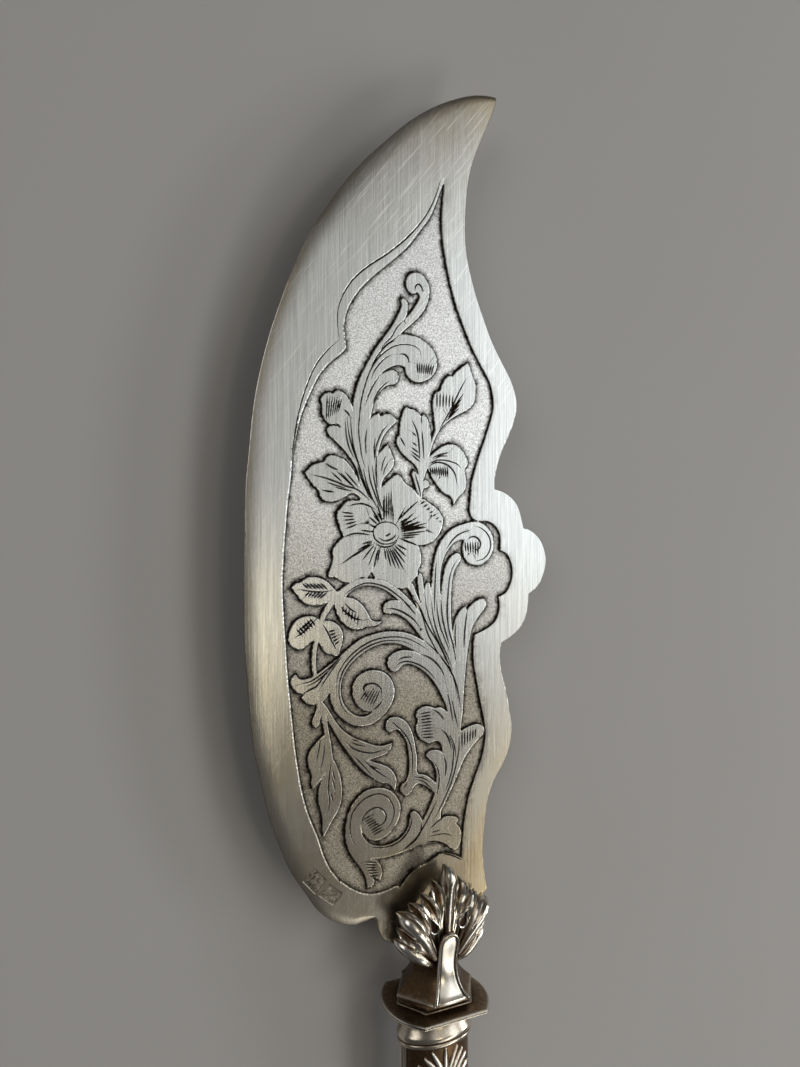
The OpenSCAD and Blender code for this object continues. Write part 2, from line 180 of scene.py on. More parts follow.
def fade(away, run):
    """1 on a line, falling to 0 at a distance from it."""
    return np.clip(1 - away / run, 0, 1)


# ---------------------------------------------------------------- the engraved ornament, by pixels of the photograph

PANEL = [
    [(443.6, 195), (442, 215), (443, 240), (446.5, 263), (451, 286), (456.5, 306), (464, 327), (472, 347), (482, 367),
     (489.5, 381), (493, 394), (494, 407), (491, 421), (484, 443), (477, 464), (472, 484), (470.5, 504), (470, 511),
     (473, 518), (478, 521)],
    [(488, 521), (495, 525), (500, 533), (501, 542), (500.5, 550)],
    [(507.5, 554), (512, 564), (513, 574), (510.6, 585), (506, 593), (499, 597)],
    [(500, 608), (497, 619), (491, 626), (483, 631), (475, 635)],
    [(474, 643), (474, 662), (477, 680), (480, 698), (484, 717), (486, 732), (485, 744), (481.5, 760), (475, 778),
     (469, 797), (465.5, 815), (463, 836), (462, 858)],
    [(449, 853.5), (440, 854), (429, 862), (415, 869), (406, 879), (400, 888)],
    [(397, 886), (388, 890), (375, 894), (362, 893), (352, 889), (344, 884), (339, 880.5), (331, 871), (325, 860),
     (317, 837), (308, 815), (302, 794), (296, 760), (293, 735), (290, 705), (287, 674), (285, 643), (283, 613),
     (282, 588), (283, 560), (285, 530), (287, 505), (290, 481), (293, 450), (300, 418), (309, 395), (319, 375),
     (330, 362), (340, 354), (346, 348)],
    [(345, 338), (344, 324), (347.5, 309), (356, 294), (370.5, 278), (388, 263.5), (405, 249), (419, 232), (431, 215),
     (438, 197.5), (445, 179)],
]

ORNAMENT = {
    "top_scroll": [
        [(353, 403), (355, 394), (358, 383), (362, 373), (368, 362), (374, 351), (381, 341), (388, 332), (394, 323),
         (399, 313), (402, 305), (401, 300), (403, 298), (406, 300), (408, 306), (407, 313), (404, 320)],
        [(410, 314), (415, 307), (419, 300), (420, 296), (417, 292)],
        [(412, 293.5), (408, 290), (406, 284), (407, 278), (411, 273.5), (415, 272.5), (420, 273.5), (425, 278),
         (428.5, 285), (429.5, 293), (428, 301), (424, 310), (418, 317.5), (410, 325), (404, 330), (399, 335)],
        [(405, 334.5), (413, 336), (421, 339), (428, 344), (433.5, 351), (436.5, 358), (437, 365), (435.5, 371),
         (431, 377), (425, 380.5), (418, 382), (411, 379.5), (407, 375), (405, 367)],
        [(400, 365), (394, 365.5), (388, 368), (383, 371.5), (379, 375.5)],
        [(384, 373), (389, 370.5), (393, 370), (396.5, 372), (398.5, 376.5), (397.5, 381), (394, 384), (388, 384.8),
         (383, 388), (378, 393.5), (374.5, 400), (372, 409), (370, 419)],
        [(374, 415.5), (378.5, 413.2)], [(380, 416.5)], [(385, 414.3), (390, 414.3), (394, 417), (397, 421)],
        [(392, 425.5), (387, 430.5), (383, 436.5), (380, 444), (377.5, 455)],
        [(381, 451.5), (387.5, 444.5)],
        [(390, 450), (393, 457), (394, 462), (392, 468), (388, 473), (384, 477.5)],
        [(381.5, 483), (381, 488)], [(388, 512)], [(376, 508)], [(364, 497)], [(362, 470), (357, 430), (353, 411)],
    ],
    "left_acanthus": [
        [(351, 404), (347, 397), (342, 392), (338, 390.5), (335, 391.5), (333, 394)],
        [(329, 392.5), (324, 394), (320.5, 399)],
        [(322, 405), (322, 413), (325, 420), (329, 423.5), (334, 423.8), (338, 423.5), (341, 428)],
        [(336, 426), (330, 426.2), (327, 429.5), (330, 436), (336, 441.5), (343, 448.5), (350, 457.5), (356, 467),
         (359, 477), (360, 486)],
        [(372, 500)], [(378, 488)], [(372, 455), (366, 425), (360, 408), (353, 411)],
    ],
    "left_leaf": [
        [(357, 478), (353, 470.5), (348, 464), (343, 459), (337, 456.5), (331, 455.3), (326, 458), (324, 462)],
        [(318, 463), (311, 466), (305, 472.5)],
        [(308, 478.5), (313, 485), (319, 490.5)],
        [(319.5, 495), (323, 499.5), (329, 501.5), (337, 500.3), (344, 497), (350, 493.3), (355, 493.5),
         (359.5, 497)],
        [(361, 501)], [(372, 506)], [(372, 490)], [(360, 486)],
    ],
    "petal_top_left": [
        [(341.7, 532.5), (340.3, 528.5), (338, 521.5), (336.8, 515), (338, 510.7)],
        [(341, 508.3), (343.2, 504.7), (347, 501.6), (352, 500.3)],
        [(356, 501), (361, 500), (367, 499.8), (373.5, 501.8), (379, 506), (384, 513)], [(386, 533)], [(344, 537)],
    ],
    "petal_bottom_left": [
        [(340, 540), (336, 544.3), (333, 548.7)],
        [(332.3, 552), (333.3, 556.3), (332.5, 562), (331, 567.3), (328.8, 572), (328.2, 575.7), (330.3, 577.3),
         (334.5, 577), (338, 579), (342.5, 581.5), (347.5, 582.3), (351.5, 581.7), (357, 578.7), (362.5, 577),
         (366.5, 578.3)],
        [(369, 575), (371.8, 571)], [(386, 533)], [(344, 537)],
    ],
    "petal_bottom": [
        [(373.7, 575.5), (375.5, 579.5)],
        [(380.5, 579.8), (386, 581.3), (391, 584.7), (396, 587), (401.5, 588.3), (408, 587.7)],
        [(411, 582.5), (414.5, 578.3), (417.3, 575), (417.5, 570), (420, 565.5), (421, 559), (420.3, 552.5),
         (419, 548), (417, 545.5)],
        [(386, 533)], [(371.8, 571)],
    ],
    "petal_right": [
        [(422.5, 544.7), (428.5, 543.3), (433.5, 540.5), (438, 535.3), (441.3, 529), (442.8, 523), (443, 519),
         (441, 514.3), (437.5, 509.5), (433, 506), (428.5, 502.7), (425, 500), (421, 499)],
        [(386, 533)], [(417, 545.5)],
    ],
    "petal_top": [
        [(418, 495.5), (414, 490.3), (409.5, 486.3), (406.5, 484.6), (403, 481), (400.3, 476.5), (397, 474.5),
         (394, 476), (390.5, 479.3), (386, 483), (381.2, 488)],
        [(384, 513)], [(386, 533)], [(421, 499)],
    ],
    "flower_middle": [
        [(386, 514), (402, 520), (405, 534), (400, 546), (386, 552), (372, 546), (367, 534), (371, 520)],
    ],
    "right_sprig": [
        [(416.5, 490), (414, 480), (412, 474), (413.5, 471), (416, 472.5), (418.3, 475)],
        [(418, 470), (415, 464.5), (409, 459.5), (402, 453), (398, 446.5), (396.5, 440.5), (397.5, 436.8),
         (399.8, 435.2)],
        [(399.8, 429), (400.5, 422), (402.5, 414), (405, 408.5), (407, 407.2)],
        [(410, 409.2), (414, 410), (418, 412.8), (421.2, 416.8)],
        [(423.5, 414.6), (426.5, 417.5), (429, 423), (430.3, 430), (430.8, 437), (431, 442)],
        [(434, 434), (435.5, 430), (434.8, 424), (433.6, 412), (433, 404), (433.6, 398), (436, 392.5), (440.5, 391)],
        [(442, 385.5), (445.5, 378.8), (450, 375.8), (452.5, 377)], [(457, 371.5), (463, 366.8), (468.3, 362.8)],
        [(470.5, 370), (473.5, 379), (475.8, 384.5)],
        [(475.5, 391), (475.3, 397), (473, 404), (467, 410), (459, 414), (450, 419.5), (441, 427.5)],
        [(436.5, 435), (432.5, 444.5), (429, 457)],
        [(428.5, 462), (427.5, 468)], [(425.5, 473), (424, 478), (422, 481.5)],
        [(425.5, 480), (428.5, 481.8), (429.2, 484.5), (427, 487.5), (423.8, 488)],
        [(422.3, 492), (421.8, 501)], [(420.5, 497.5)],
    ],
    "right_leaf": [
        [(435, 452), (441, 447.3), (447, 444.8), (453, 444.5), (459, 447.2), (464, 453), (467.5, 460.5), (468, 463.5),
         (464.5, 469)],
        [(465.3, 475), (466.3, 481), (465.8, 487), (464, 491.5)], [(461.5, 494), (457.5, 498), (453.6, 504.5)],
        [(452.8, 499.5), (450, 495.8), (444.5, 493.2), (439, 487.5), (433.5, 479.5), (430, 472.5), (427.5, 467.5)],
        [(424, 463)], [(429, 457)],
    ],
    "sprig_arc": [
        [(343, 587.5), (350, 582.8), (357.5, 579.5), (366, 578.6), (375, 579.3), (384, 581), (391.5, 585), (399, 590),
         (407, 597.3), (414, 605), (421.5, 614.5)],
        [(414, 613), (408, 608.5), (400, 601.3), (392, 594.5), (384, 589.3), (375, 586.2), (366, 585.5), (357, 587.7),
         (350, 591.7), (345, 597)],
        [(340, 600)], [(337, 592)],
    ],
    "sprig_leaf_a": [
        [(332, 587.3), (327.5, 582.5), (321.5, 579), (314.5, 577.3), (307.5, 577.6), (303, 580.3), (300, 582.7)],
        [(295.3, 583.8), (291.3, 587.8)],
        [(295, 592.7), (299, 598.3), (304, 602.8), (310.5, 605), (317.5, 605), (324, 603.8), (329.8, 600.5)],
        [(334, 603)],
        [(340, 597)], [(336.5, 592)],
    ],
    "sprig_leaf_b": [
        [(352, 598.3), (359, 602.3), (364.8, 608.8), (368.3, 615), (371, 620), (375.5, 621.8), (382, 621.3)],
        [(378, 624.6), (371.5, 626.2), (366, 626.8), (360, 629), (353, 628.8), (346.5, 626), (341, 620.7),
         (337, 613.5), (335, 607), (334.3, 601)],
        [(338, 595)], [(344.8, 597.3)],
    ],
    "sprig_stem": [
        [(325, 607.5), (321.5, 614), (319.5, 621), (317.3, 631), (314, 640.5), (312, 650), (311.3, 660), (311.8, 669),
         (313.5, 680)],
        [(317, 679)],
        [(315.8, 669), (315.6, 660), (316.3, 650), (318.3, 641), (321.3, 632), (323.3, 623), (325, 617.5), (329, 611),
         (334.3, 603)],
        [(338, 597)], [(329.5, 600.5)],
    ],
    "sprig_leaf_c": [
        [(316.5, 618), (310, 616.5), (303, 617.3), (296.5, 620.5), (292, 626.2), (289, 633), (288, 640),
         (290.3, 645.3), (295, 648.6), (300.5, 649.3), (305.5, 646.3), (310, 642.5), (314, 640)],
        [(320, 629)], [(320, 621)],
    ],
    "sprig_leaf_d": [
        [(328, 621), (334, 622.7), (339.3, 627), (342.2, 633), (342.2, 640.5), (340.3, 648), (338.5, 654.3)],
        [(335, 656), (331.5, 654.3), (327, 653.7), (323, 649.8), (319.5, 643.5), (317, 639.5)],
        [(319, 630)], [(323, 621.5)],
    ],
    "trunk": [
        # two slim spikes and the volute on the right
        [(412, 583.5), (416, 593), (421, 604.5)],
        [(419.5, 594), (418, 584), (417.8, 576.5), (419.8, 573.3), (422, 575.5), (423, 584), (424.4, 593.8)],
        [(425.3, 587), (427, 583), (429, 583), (430.6, 588), (431.3, 594)],
        [(431.8, 585), (432.8, 572), (434.5, 560), (437.5, 549), (442, 540), (448, 532.5), (455, 527.3), (461, 525),
         (468, 522.8), (475, 521.8), (482, 523.3), (488, 528), (492.3, 535), (493.5, 543), (492.5, 551.5),
         (488.5, 559), (482, 563.8), (474.5, 564.8), (468, 562.3), (464.3, 557), (462.8, 550), (463.5, 543.5),
         (464.5, 539.5)],
        [(459.5, 539.8), (454, 542.5), (449.5, 547.5), (445.5, 554), (442.5, 562), (440.8, 570), (439.8, 580),
         (440, 590), (440.7, 600)],
        [(442, 588), (443.2, 578), (445, 569), (448, 561.5), (452, 556), (456.5, 553.3), (460, 555), (461, 558.5),
         (458.5, 563.5), (455, 569), (452.7, 577), (451.5, 588), (451, 600), (451, 615), (452, 630), (453.5, 645),
         (456, 662)],
        # the two pointed leaves at the panel's right side
        [(453.8, 648), (453, 636), (453.8, 627), (456, 618.5), (460, 611.3), (465.3, 606.3)], [(467, 611)],
        [(470, 606.5), (475, 602), (480, 599.2), (484, 599), (486.3, 602.5), (485, 607.5), (481, 613), (476.5, 619.5),
         (473, 626), (471, 632), (469.3, 641), (467.5, 652), (466, 664), (465, 676), (464, 690), (463.3, 700),
         (462.6, 712), (461.5, 722), (460.5, 731.5)],
        [(465, 728.8), (470.5, 726), (477, 724.3), (482.5, 726), (484.3, 729.8), (482.5, 734.5), (477, 740.5),
         (470.5, 748.5), (465, 757), (460.5, 767), (456.5, 777), (452.5, 786.5), (448.5, 796), (444, 805), (441, 811),
         (440.5, 819)],
        # fan at the foot, lower band and the bottom fan
        [(445, 816.8), (451, 816.2), (456, 817.2), (458.5, 819.5)], [(455.8, 823.5)],
        [(459.5, 827.5), (461.3, 833), (460.5, 841), (458, 847.5), (454.5, 849.8)],
        [(449.5, 847), (444, 843.3), (437, 841.5), (430, 842.5), (424, 844)],
        [(418, 845.5), (410, 849.3), (400, 853), (390, 856.3), (380, 858.3), (371.5, 858.3)],
        [(376, 860.5), (380.5, 866), (382, 873), (380, 880)], [(376, 878.5), (370.5, 875)],
        [(374.3, 881.5), (371.5, 886.5), (367, 887.5)],
        # lower volute
        [(365.5, 878), (361, 869), (354, 859.8), (348, 849.5), (345.3, 838), (345.5, 827), (347.5, 816), (352, 805.5),
         (359, 796.3), (367, 790.5), (376, 788.3), (385, 788.8), (392, 792.3), (397.5, 798.8), (400.3, 807),
         (399.5, 815.5), (396, 824.5), (390, 832.5), (383, 838), (375, 840.5), (368, 838.5), (363, 833), (361, 826)],
        [(361.8, 834), (366, 841), (372.5, 845), (380, 846.3), (388, 845), (396, 841.5), (403, 836), (408, 828.5),
         (410, 819), (410.8, 813.5), (413.5, 811.3), (417.5, 813.3), (420.5, 817.5), (422.5, 821)],
        # curled stem and its cross bar
        [(426.5, 814.5), (430.5, 806), (433.3, 799), (435.3, 793.5)],
        [(430.5, 789), (424.5, 785), (418.5, 783.3), (414.5, 786), (411, 792), (406, 795.5), (402, 793),
         (400.3, 788.5), (402, 784.8), (406.5, 781), (409, 773), (409.6, 762), (408.6, 752), (406.8, 742),
         (402.5, 734.5), (397, 729.5), (392.5, 730.3)],
        [(389, 732), (386, 728.5), (386, 723.5), (389, 719), (394, 717.3), (400, 718.3), (406, 722.3), (410.5, 729),
         (413.5, 738), (415.5, 749), (417, 760), (416.5, 770.5), (418, 774.3)],
        [(424.5, 775), (430.5, 778.5), (436, 783.3)],
        # lower acanthus lobes
        [(436.8, 776), (435.5, 768.5), (432.5, 762), (429, 759), (426.5, 755.5), (428.5, 751.8), (434, 750.2),
         (440, 751), (443, 753.5)],
        [(441.8, 746), (438.5, 741), (433.5, 741.3), (429.5, 743.3), (425.5, 741.8)],
        [(420.3, 738.8), (417, 732.5), (416.4, 725.8), (418.3, 720)],
        [(416.3, 716), (418, 710.7), (422.5, 707.3), (428.5, 706.6), (435, 708.6)],
        [(440, 707.5), (444.3, 709.8), (447.5, 712.5)],
        # curl over the great volute
        [(446.3, 705.5), (442.3, 696.5), (437.5, 687), (431.5, 678.5), (424.5, 671.5), (416.5, 666.3), (409, 663.8),
         (402.5, 664.8), (398, 669.8)],
        [(394, 671.6), (389.8, 669), (387.4, 663.5), (388.8, 657.7), (393.5, 653.3), (401, 650.6), (409, 650.6),
         (416, 652.3), (421.5, 655)],
        # great volute
        [(414, 650.3), (406, 646.3), (397.5, 643.6), (388.5, 643), (379.5, 644.2), (371, 647.7), (362, 653.2),
         (354, 660), (347, 668.2), (342.5, 677.3), (340.4, 687), (341, 697), (344.3, 705.7), (350, 712.3),
         (357, 716.2), (364, 716.8), (369.7, 714.6), (373.4, 711)],
        [(367.5, 711.2), (361, 708.8), (355.6, 703), (352.6, 695), (352.6, 686.5), (356, 679.2), (362, 673.7),
         (369, 670.8), (377, 670.6), (384.3, 673), (390, 678.3), (393.5, 685.7), (394.3, 694), (392, 702.3),
         (387.5, 710), (381.5, 716.8), (374.5, 722.3), (366.5, 725.5), (358, 726), (349.5, 723.7), (341.5, 718.3),
         (335, 711), (331, 702.5), (329.7, 696), (329.7, 691)],
        # tendrils on the left
        [(326.3, 697.3), (322, 702)],
        [(326, 707), (330.5, 714), (335, 721.3), (340.5, 728.5), (347, 734), (355, 738.7), (363.5, 741.8),
         (372, 744.8), (379.5, 746.2), (386, 745.2), (392.3, 743)],
        [(390.5, 748.5), (386, 753.5), (379, 756.5), (373, 758.5), (367.5, 760.3)],
        [(374, 762.5), (382, 764.8), (388.5, 767.8), (393.8, 773.5), (396.3, 780.5), (394.7, 791)],
        [(391.3, 786), (387.5, 783.3), (381.5, 782.8), (374.5, 779.3), (367.5, 774.5), (360.5, 768.3), (353.5, 760.5),
         (347.5, 752.3), (342, 745), (337, 737), (331.5, 727.5), (327.5, 720), (325.7, 714.3)],
        [(327, 724), (329, 735), (331, 747), (332.2, 758.5)],
        [(335.5, 764.5), (338.8, 773), (341, 783), (341.6, 793.5), (340.3, 803.5), (337.5, 811), (333, 818.7),
         (328, 828), (323.5, 837)],
        [(322.2, 829), (322.3, 819.5), (320.5, 811.5), (318.3, 803.5), (318, 794.5), (319.7, 786), (322, 779.3),
         (325, 773.5)],
        [(321, 779.3), (317, 784), (312.5, 789)],
        [(311, 783.5), (311.8, 776.5), (308.7, 768.5), (307.6, 760.5), (309.6, 752), (314.3, 745), (320, 739),
         (324.6, 735)],
        [(323.5, 729), (321.7, 722), (320.3, 713)],
        [(319.7, 719), (318.3, 725.3), (314.8, 727.5), (312, 724), (313.2, 718), (316, 711), (316.7, 703.8)],
        [(312, 704.8), (306.5, 703.8), (303, 700.5), (301.3, 697.8)], [(304, 695.3)], [(302, 694.3)],
        [(296.5, 692.5), (292.5, 688), (290.5, 682.5), (291.8, 677.7), (295.3, 675)],
        [(298, 678.7), (302.5, 680), (308.5, 678.7), (315, 675.8), (322, 670.8), (329, 665.2), (335.5, 660.3),
         (340.5, 656.3), (345.3, 651.3), (351, 646.5), (358, 641), (366, 637), (375, 634), (384, 632), (393, 631.5),
         (402.5, 632.3), (411.5, 634.8), (420, 639), (424.5, 641.5)],
        # leaf under the sprig's arc
        [(418, 632.5), (412, 625), (406, 619), (400, 615.2), (394, 613.2), (388.5, 613.6), (384.3, 612.3)],
        [(383, 608.5), (384.7, 604), (389.5, 601), (396, 600.4), (401, 602), (404, 605)],
        [(414, 607)], [(421, 614.5)], [(415.5, 603), (411.5, 594.5), (408.5, 589)], [(409, 584)],
    ],
}

# Engraved lines on the level metal, by pixels: broad cuts, fine cuts, and rows of hatching that
# step from a first line to a last one
BROAD_CUTS = [
    [(415, 290.5), (415.5, 286), (418.5, 284), (421.5, 287), (423, 292)],
    [(421, 357), (420, 351), (415, 346.5), (408, 344.5), (400, 344.5), (392, 347), (385, 351.5), (378, 358),
     (373, 365), (369, 373), (366, 382), (363, 392), (361, 402), (359.5, 415), (358.5, 430), (360, 445), (362, 458),
     (366, 470)],
    [(399, 354), (403, 353.8), (407, 356.5), (408.5, 360), (408, 363)], [(379, 376), (372, 387), (365, 404)],
    [(343.5, 409.5), (347, 412.5), (350, 417)],
    [(376.5, 455), (376, 470), (377, 488)],
    [(388, 424), (383, 430), (379, 438), (376, 447), (375, 458)],
    [(366.5, 428), (365.5, 440), (366, 455)],
    [(311, 474.5), (322, 477), (334, 481), (346, 486), (356, 489), (364, 495), (369, 500)],
    [(325, 463), (331, 467), (338, 470)], [(321, 489.5), (327, 491), (334, 492)],
    [(349, 506), (355, 504), (361, 503.5), (368, 505.5), (375, 509.5)],
    [(379, 538), (384, 540.5), (389, 540), (394, 537), (396, 534)], [(385, 536), (388, 535), (390, 533)],
    [(375, 543), (380, 546), (386, 547), (392, 545.5), (397, 541)],
    [(373, 544), (357, 553), (341, 564)], [(378, 548), (373.5, 569)],
    [(418, 501), (411, 507), (404, 514), (398, 520)],
    [(399, 538), (406, 541), (412, 543), (417, 545.5)], [(412, 420), (417, 432), (419, 446), (420, 460)],
    [(466, 379), (459, 392), (453, 405), (446, 418), (440, 428)],
    [(429, 466), (436, 462.5), (443, 463), (450, 467), (455, 474), (457, 484)],
    [(467, 540.5), (470, 537.5), (474, 536.5), (478, 538.5), (480.5, 543), (480, 547), (477.5, 549.5),
     (474.5, 548.5)],
    [(385, 609), (391, 608.5), (398, 610), (406, 614), (414, 620), (420, 628)],
    [(425, 641), (436, 651), (444, 661), (451, 672), (456, 684), (459, 697), (461, 712)],
    [(421, 654), (430, 658), (438, 665), (443, 673), (444.5, 677)],
    [(433, 709.5), (438, 712.5), (442, 717), (444, 720)],
    [(440, 729), (445, 733), (449, 740), (451, 750)], [(444, 756), (446, 765), (445, 777)],
    [(412, 816), (411, 824), (407, 833), (400, 841), (391, 846), (380, 848), (370, 847)],
    [(421, 822), (421, 830), (417, 838), (410, 845), (403, 850)],
    [(361, 826), (363, 818), (367, 812.5), (373, 808.5), (379, 808), (384, 811.5), (386, 817), (384, 822.5),
     (379, 825.5), (375.5, 823.5), (375, 820.5)],
    [(302, 694.5), (309, 690), (316, 686.5), (322, 679), (328, 670)],
    [(345, 741), (352, 748), (362, 752), (373, 753), (383, 750)],
    [(340, 606), (346, 613), (354, 618), (363, 620.5)], [(323, 625), (328, 634), (333, 644), (336, 650)],
    [(467, 611), (466, 620), (464.7, 632), (464, 648)],
    [(441, 599), (442, 615), (445, 630), (450, 648)], [(373, 710), (378, 706), (382, 701)],
    [(369, 697), (366, 696), (364, 692), (364, 688), (367, 684.5), (372, 683.5), (377, 685), (381, 690), (381, 696)],
    [(364, 692), (363.3, 687), (367, 683)],
]
FINE_CUTS = [
    [(404, 320), (397, 327), (391, 337), (384, 344), (381, 349)], [(399, 335), (390, 342), (381, 349)],
    [(396, 340), (388, 344), (380, 352), (374, 361), (370, 370)],
    [(391, 355), (385, 358), (379, 364), (374, 371), (371, 379)],
    [(389, 381), (384, 384.5), (379, 390), (375, 397), (373, 404)],
    [(350, 417), (351, 430), (353, 445), (357, 460), (362, 478)], [(345, 420), (346, 435), (349, 448), (354, 458)],
    [(347, 415), (348, 430), (352, 447), (358, 463), (364, 482), (372, 500)],
    [(357, 465), (361, 478), (367, 492), (372, 501)], [(363, 468), (366, 482), (371, 496), (377, 508)],
    [(368, 465), (370, 480), (375, 495), (381, 510)],
    [(372, 465), (374, 480), (378, 497), (383, 512)], [(375, 437), (374, 447), (374.5, 460)],
    [(386, 455), (383, 462), (381, 472)],
    [(388, 462), (385, 468), (383, 475)], [(331, 472), (342, 482)], [(336, 471), (344, 478), (352, 486)],
    [(340, 472), (347, 480), (355, 488)],
    [(345, 472), (352, 480), (358, 487)], [(326, 482), (335, 485), (345, 488)], [(334, 487), (343, 489), (352, 491)],
    [(344, 537), (350, 534.5), (357, 533.3), (364, 534), (370, 535)],
    [(399, 533), (398, 528), (393, 523.5), (386, 521.8), (379, 523.5), (374, 528), (373, 533), (375, 539), (380, 543),
     (386, 544), (393, 542.5), (397.5, 538.5), (399, 533)],
    [(393, 523), (392.5, 504)], [(396, 524), (405, 507)], [(415, 474), (419, 488), (421, 497)],
    [(422, 430), (423, 445), (424, 460)],
    [(412, 432), (416, 436)], [(412, 442), (417, 446)], [(411, 447), (419, 453)], [(411, 451), (420, 458)],
    [(411, 454), (420, 462)],
    [(421, 417), (422, 424)], [(400, 437), (405, 446)],
    [(429, 464), (436, 460.5), (444, 460), (451, 461.5), (457, 464), (461, 468)],
    [(432, 458), (440, 454.5), (449, 452.5)], [(434, 459), (441, 456), (448, 456)],
    [(470, 530.5), (464, 532), (458, 535), (453, 539.5), (449, 545), (446, 550)],
    [(475, 526), (480, 527.5), (486, 532), (490, 539), (490.5, 547), (488, 554), (483, 559), (476, 561)],
    [(436.5, 560), (435.3, 575), (434.8, 592), (434.5, 612)],
    [(457, 560), (453, 567), (450, 576), (448.5, 588), (447.5, 602), (447.5, 617), (449, 630)],
    [(409, 590), (415, 600), (421, 610), (425, 620), (430, 630), (437, 641), (444, 655), (452, 672)],
    [(418, 605), (423, 618), (427, 632), (434, 646), (440, 656)],
    [(424.5, 593), (426, 605), (429, 618), (434, 632), (441, 647), (448, 663), (454, 680), (458, 700)],
    [(431.5, 600), (432.5, 612), (435, 625), (440, 640), (447, 655), (453, 670)],
    [(436.5, 600), (437.5, 612), (440, 626), (446, 642), (450, 652)],
    [(446.5, 600), (447, 615), (449, 630), (453, 645), (456, 662)], [(404, 602), (410, 608), (416, 615)],
    [(412, 645.5), (403, 641.5), (394, 640.5), (385, 640.8), (376, 643), (367, 647), (358, 653), (350, 661),
     (343, 671), (339.5, 682), (338.5, 692), (340, 702), (344, 710), (351, 716)],
    [(428, 650), (418, 643.5), (407, 638.5), (396, 636.8), (385, 637.5), (374, 640), (363, 645.5), (352, 654),
     (344, 663), (338, 674), (336, 686), (336, 697)],
    [(398, 660), (404, 657.5), (412, 657)],
    [(395, 668), (399, 663.5), (405, 661.5), (413, 662.5), (421, 666), (429, 672), (436, 680)],
    [(447.5, 692), (449, 700), (451, 710), (453, 722)], [(452, 700), (455, 715), (458, 728)],
    [(456, 622), (455, 635), (456, 648)],
    [(450, 735), (454, 745), (456, 757)],
    [(449, 735), (453, 748), (453, 762), (450, 778), (445, 792)],
    [(459, 733), (459, 748), (456, 765), (452, 780), (447, 793), (441, 806), (435, 818)],
    [(434, 762), (438, 770), (439, 782), (437, 795)],
    [(437, 800), (431, 813), (424, 826), (416, 838), (405, 848)], [(413, 777), (422, 778), (430, 782)],
    [(413, 780), (422, 781), (432, 789)],
    [(389, 722), (393, 723), (397, 726.5), (402, 731), (407, 738), (411, 748), (412.5, 762), (412, 775)],
    [(407, 783), (404, 788)],
    [(358, 848), (353, 842), (350, 833), (350, 823), (352, 814), (357, 806), (363, 800), (370, 796), (378, 794),
     (386, 796), (391, 802), (394, 810), (393, 818), (390, 825), (384, 831.5)],
    [(431, 833), (440, 830)], [(428, 837), (437, 835), (446, 834), (452, 836)],
    [(424, 843), (434, 841.5), (444, 844), (451, 849)],
    [(430, 829), (437, 822), (443, 818)],
    [(300, 684), (310, 681.5), (320, 675), (330, 667), (338, 659)],
    [(305, 687), (315, 682), (325, 674), (334, 664), (341, 655)], [(320, 688), (327, 677), (334, 667), (342, 656)],
    [(351, 742), (357, 745), (366, 746.5)],
    [(352, 739.5), (358, 741.5)], [(362, 759), (372, 768), (382, 775), (390, 780)],
    [(352, 755), (362, 765), (372, 776)],
    [(368, 765), (375, 768), (381, 770)], [(320, 740), (318, 752), (316, 762)], [(324, 745), (323, 757), (320, 770)],
    [(331, 760), (329, 775), (328, 790), (329, 800), (328, 812)],
    [(332, 770), (335, 782)], [(332, 778), (335, 792)], [(330, 792), (333, 803)],
    [(299, 589.5), (308, 591), (320, 592), (332, 590.5)],
    [(344, 603), (350, 609), (356, 612.5)], [(294, 638), (303, 632), (311, 624), (317, 618)],
    [(297, 632), (305, 625), (313, 619)],
    [(344, 595), (350, 590), (358, 585.5), (367, 583), (376, 584), (385, 587), (395, 593.5), (405, 602), (412, 609)],
    [(400, 888), (405, 880), (412, 872), (422, 864), (432, 858), (440, 855)],
    [(440, 853), (450, 855), (462, 860)],
]
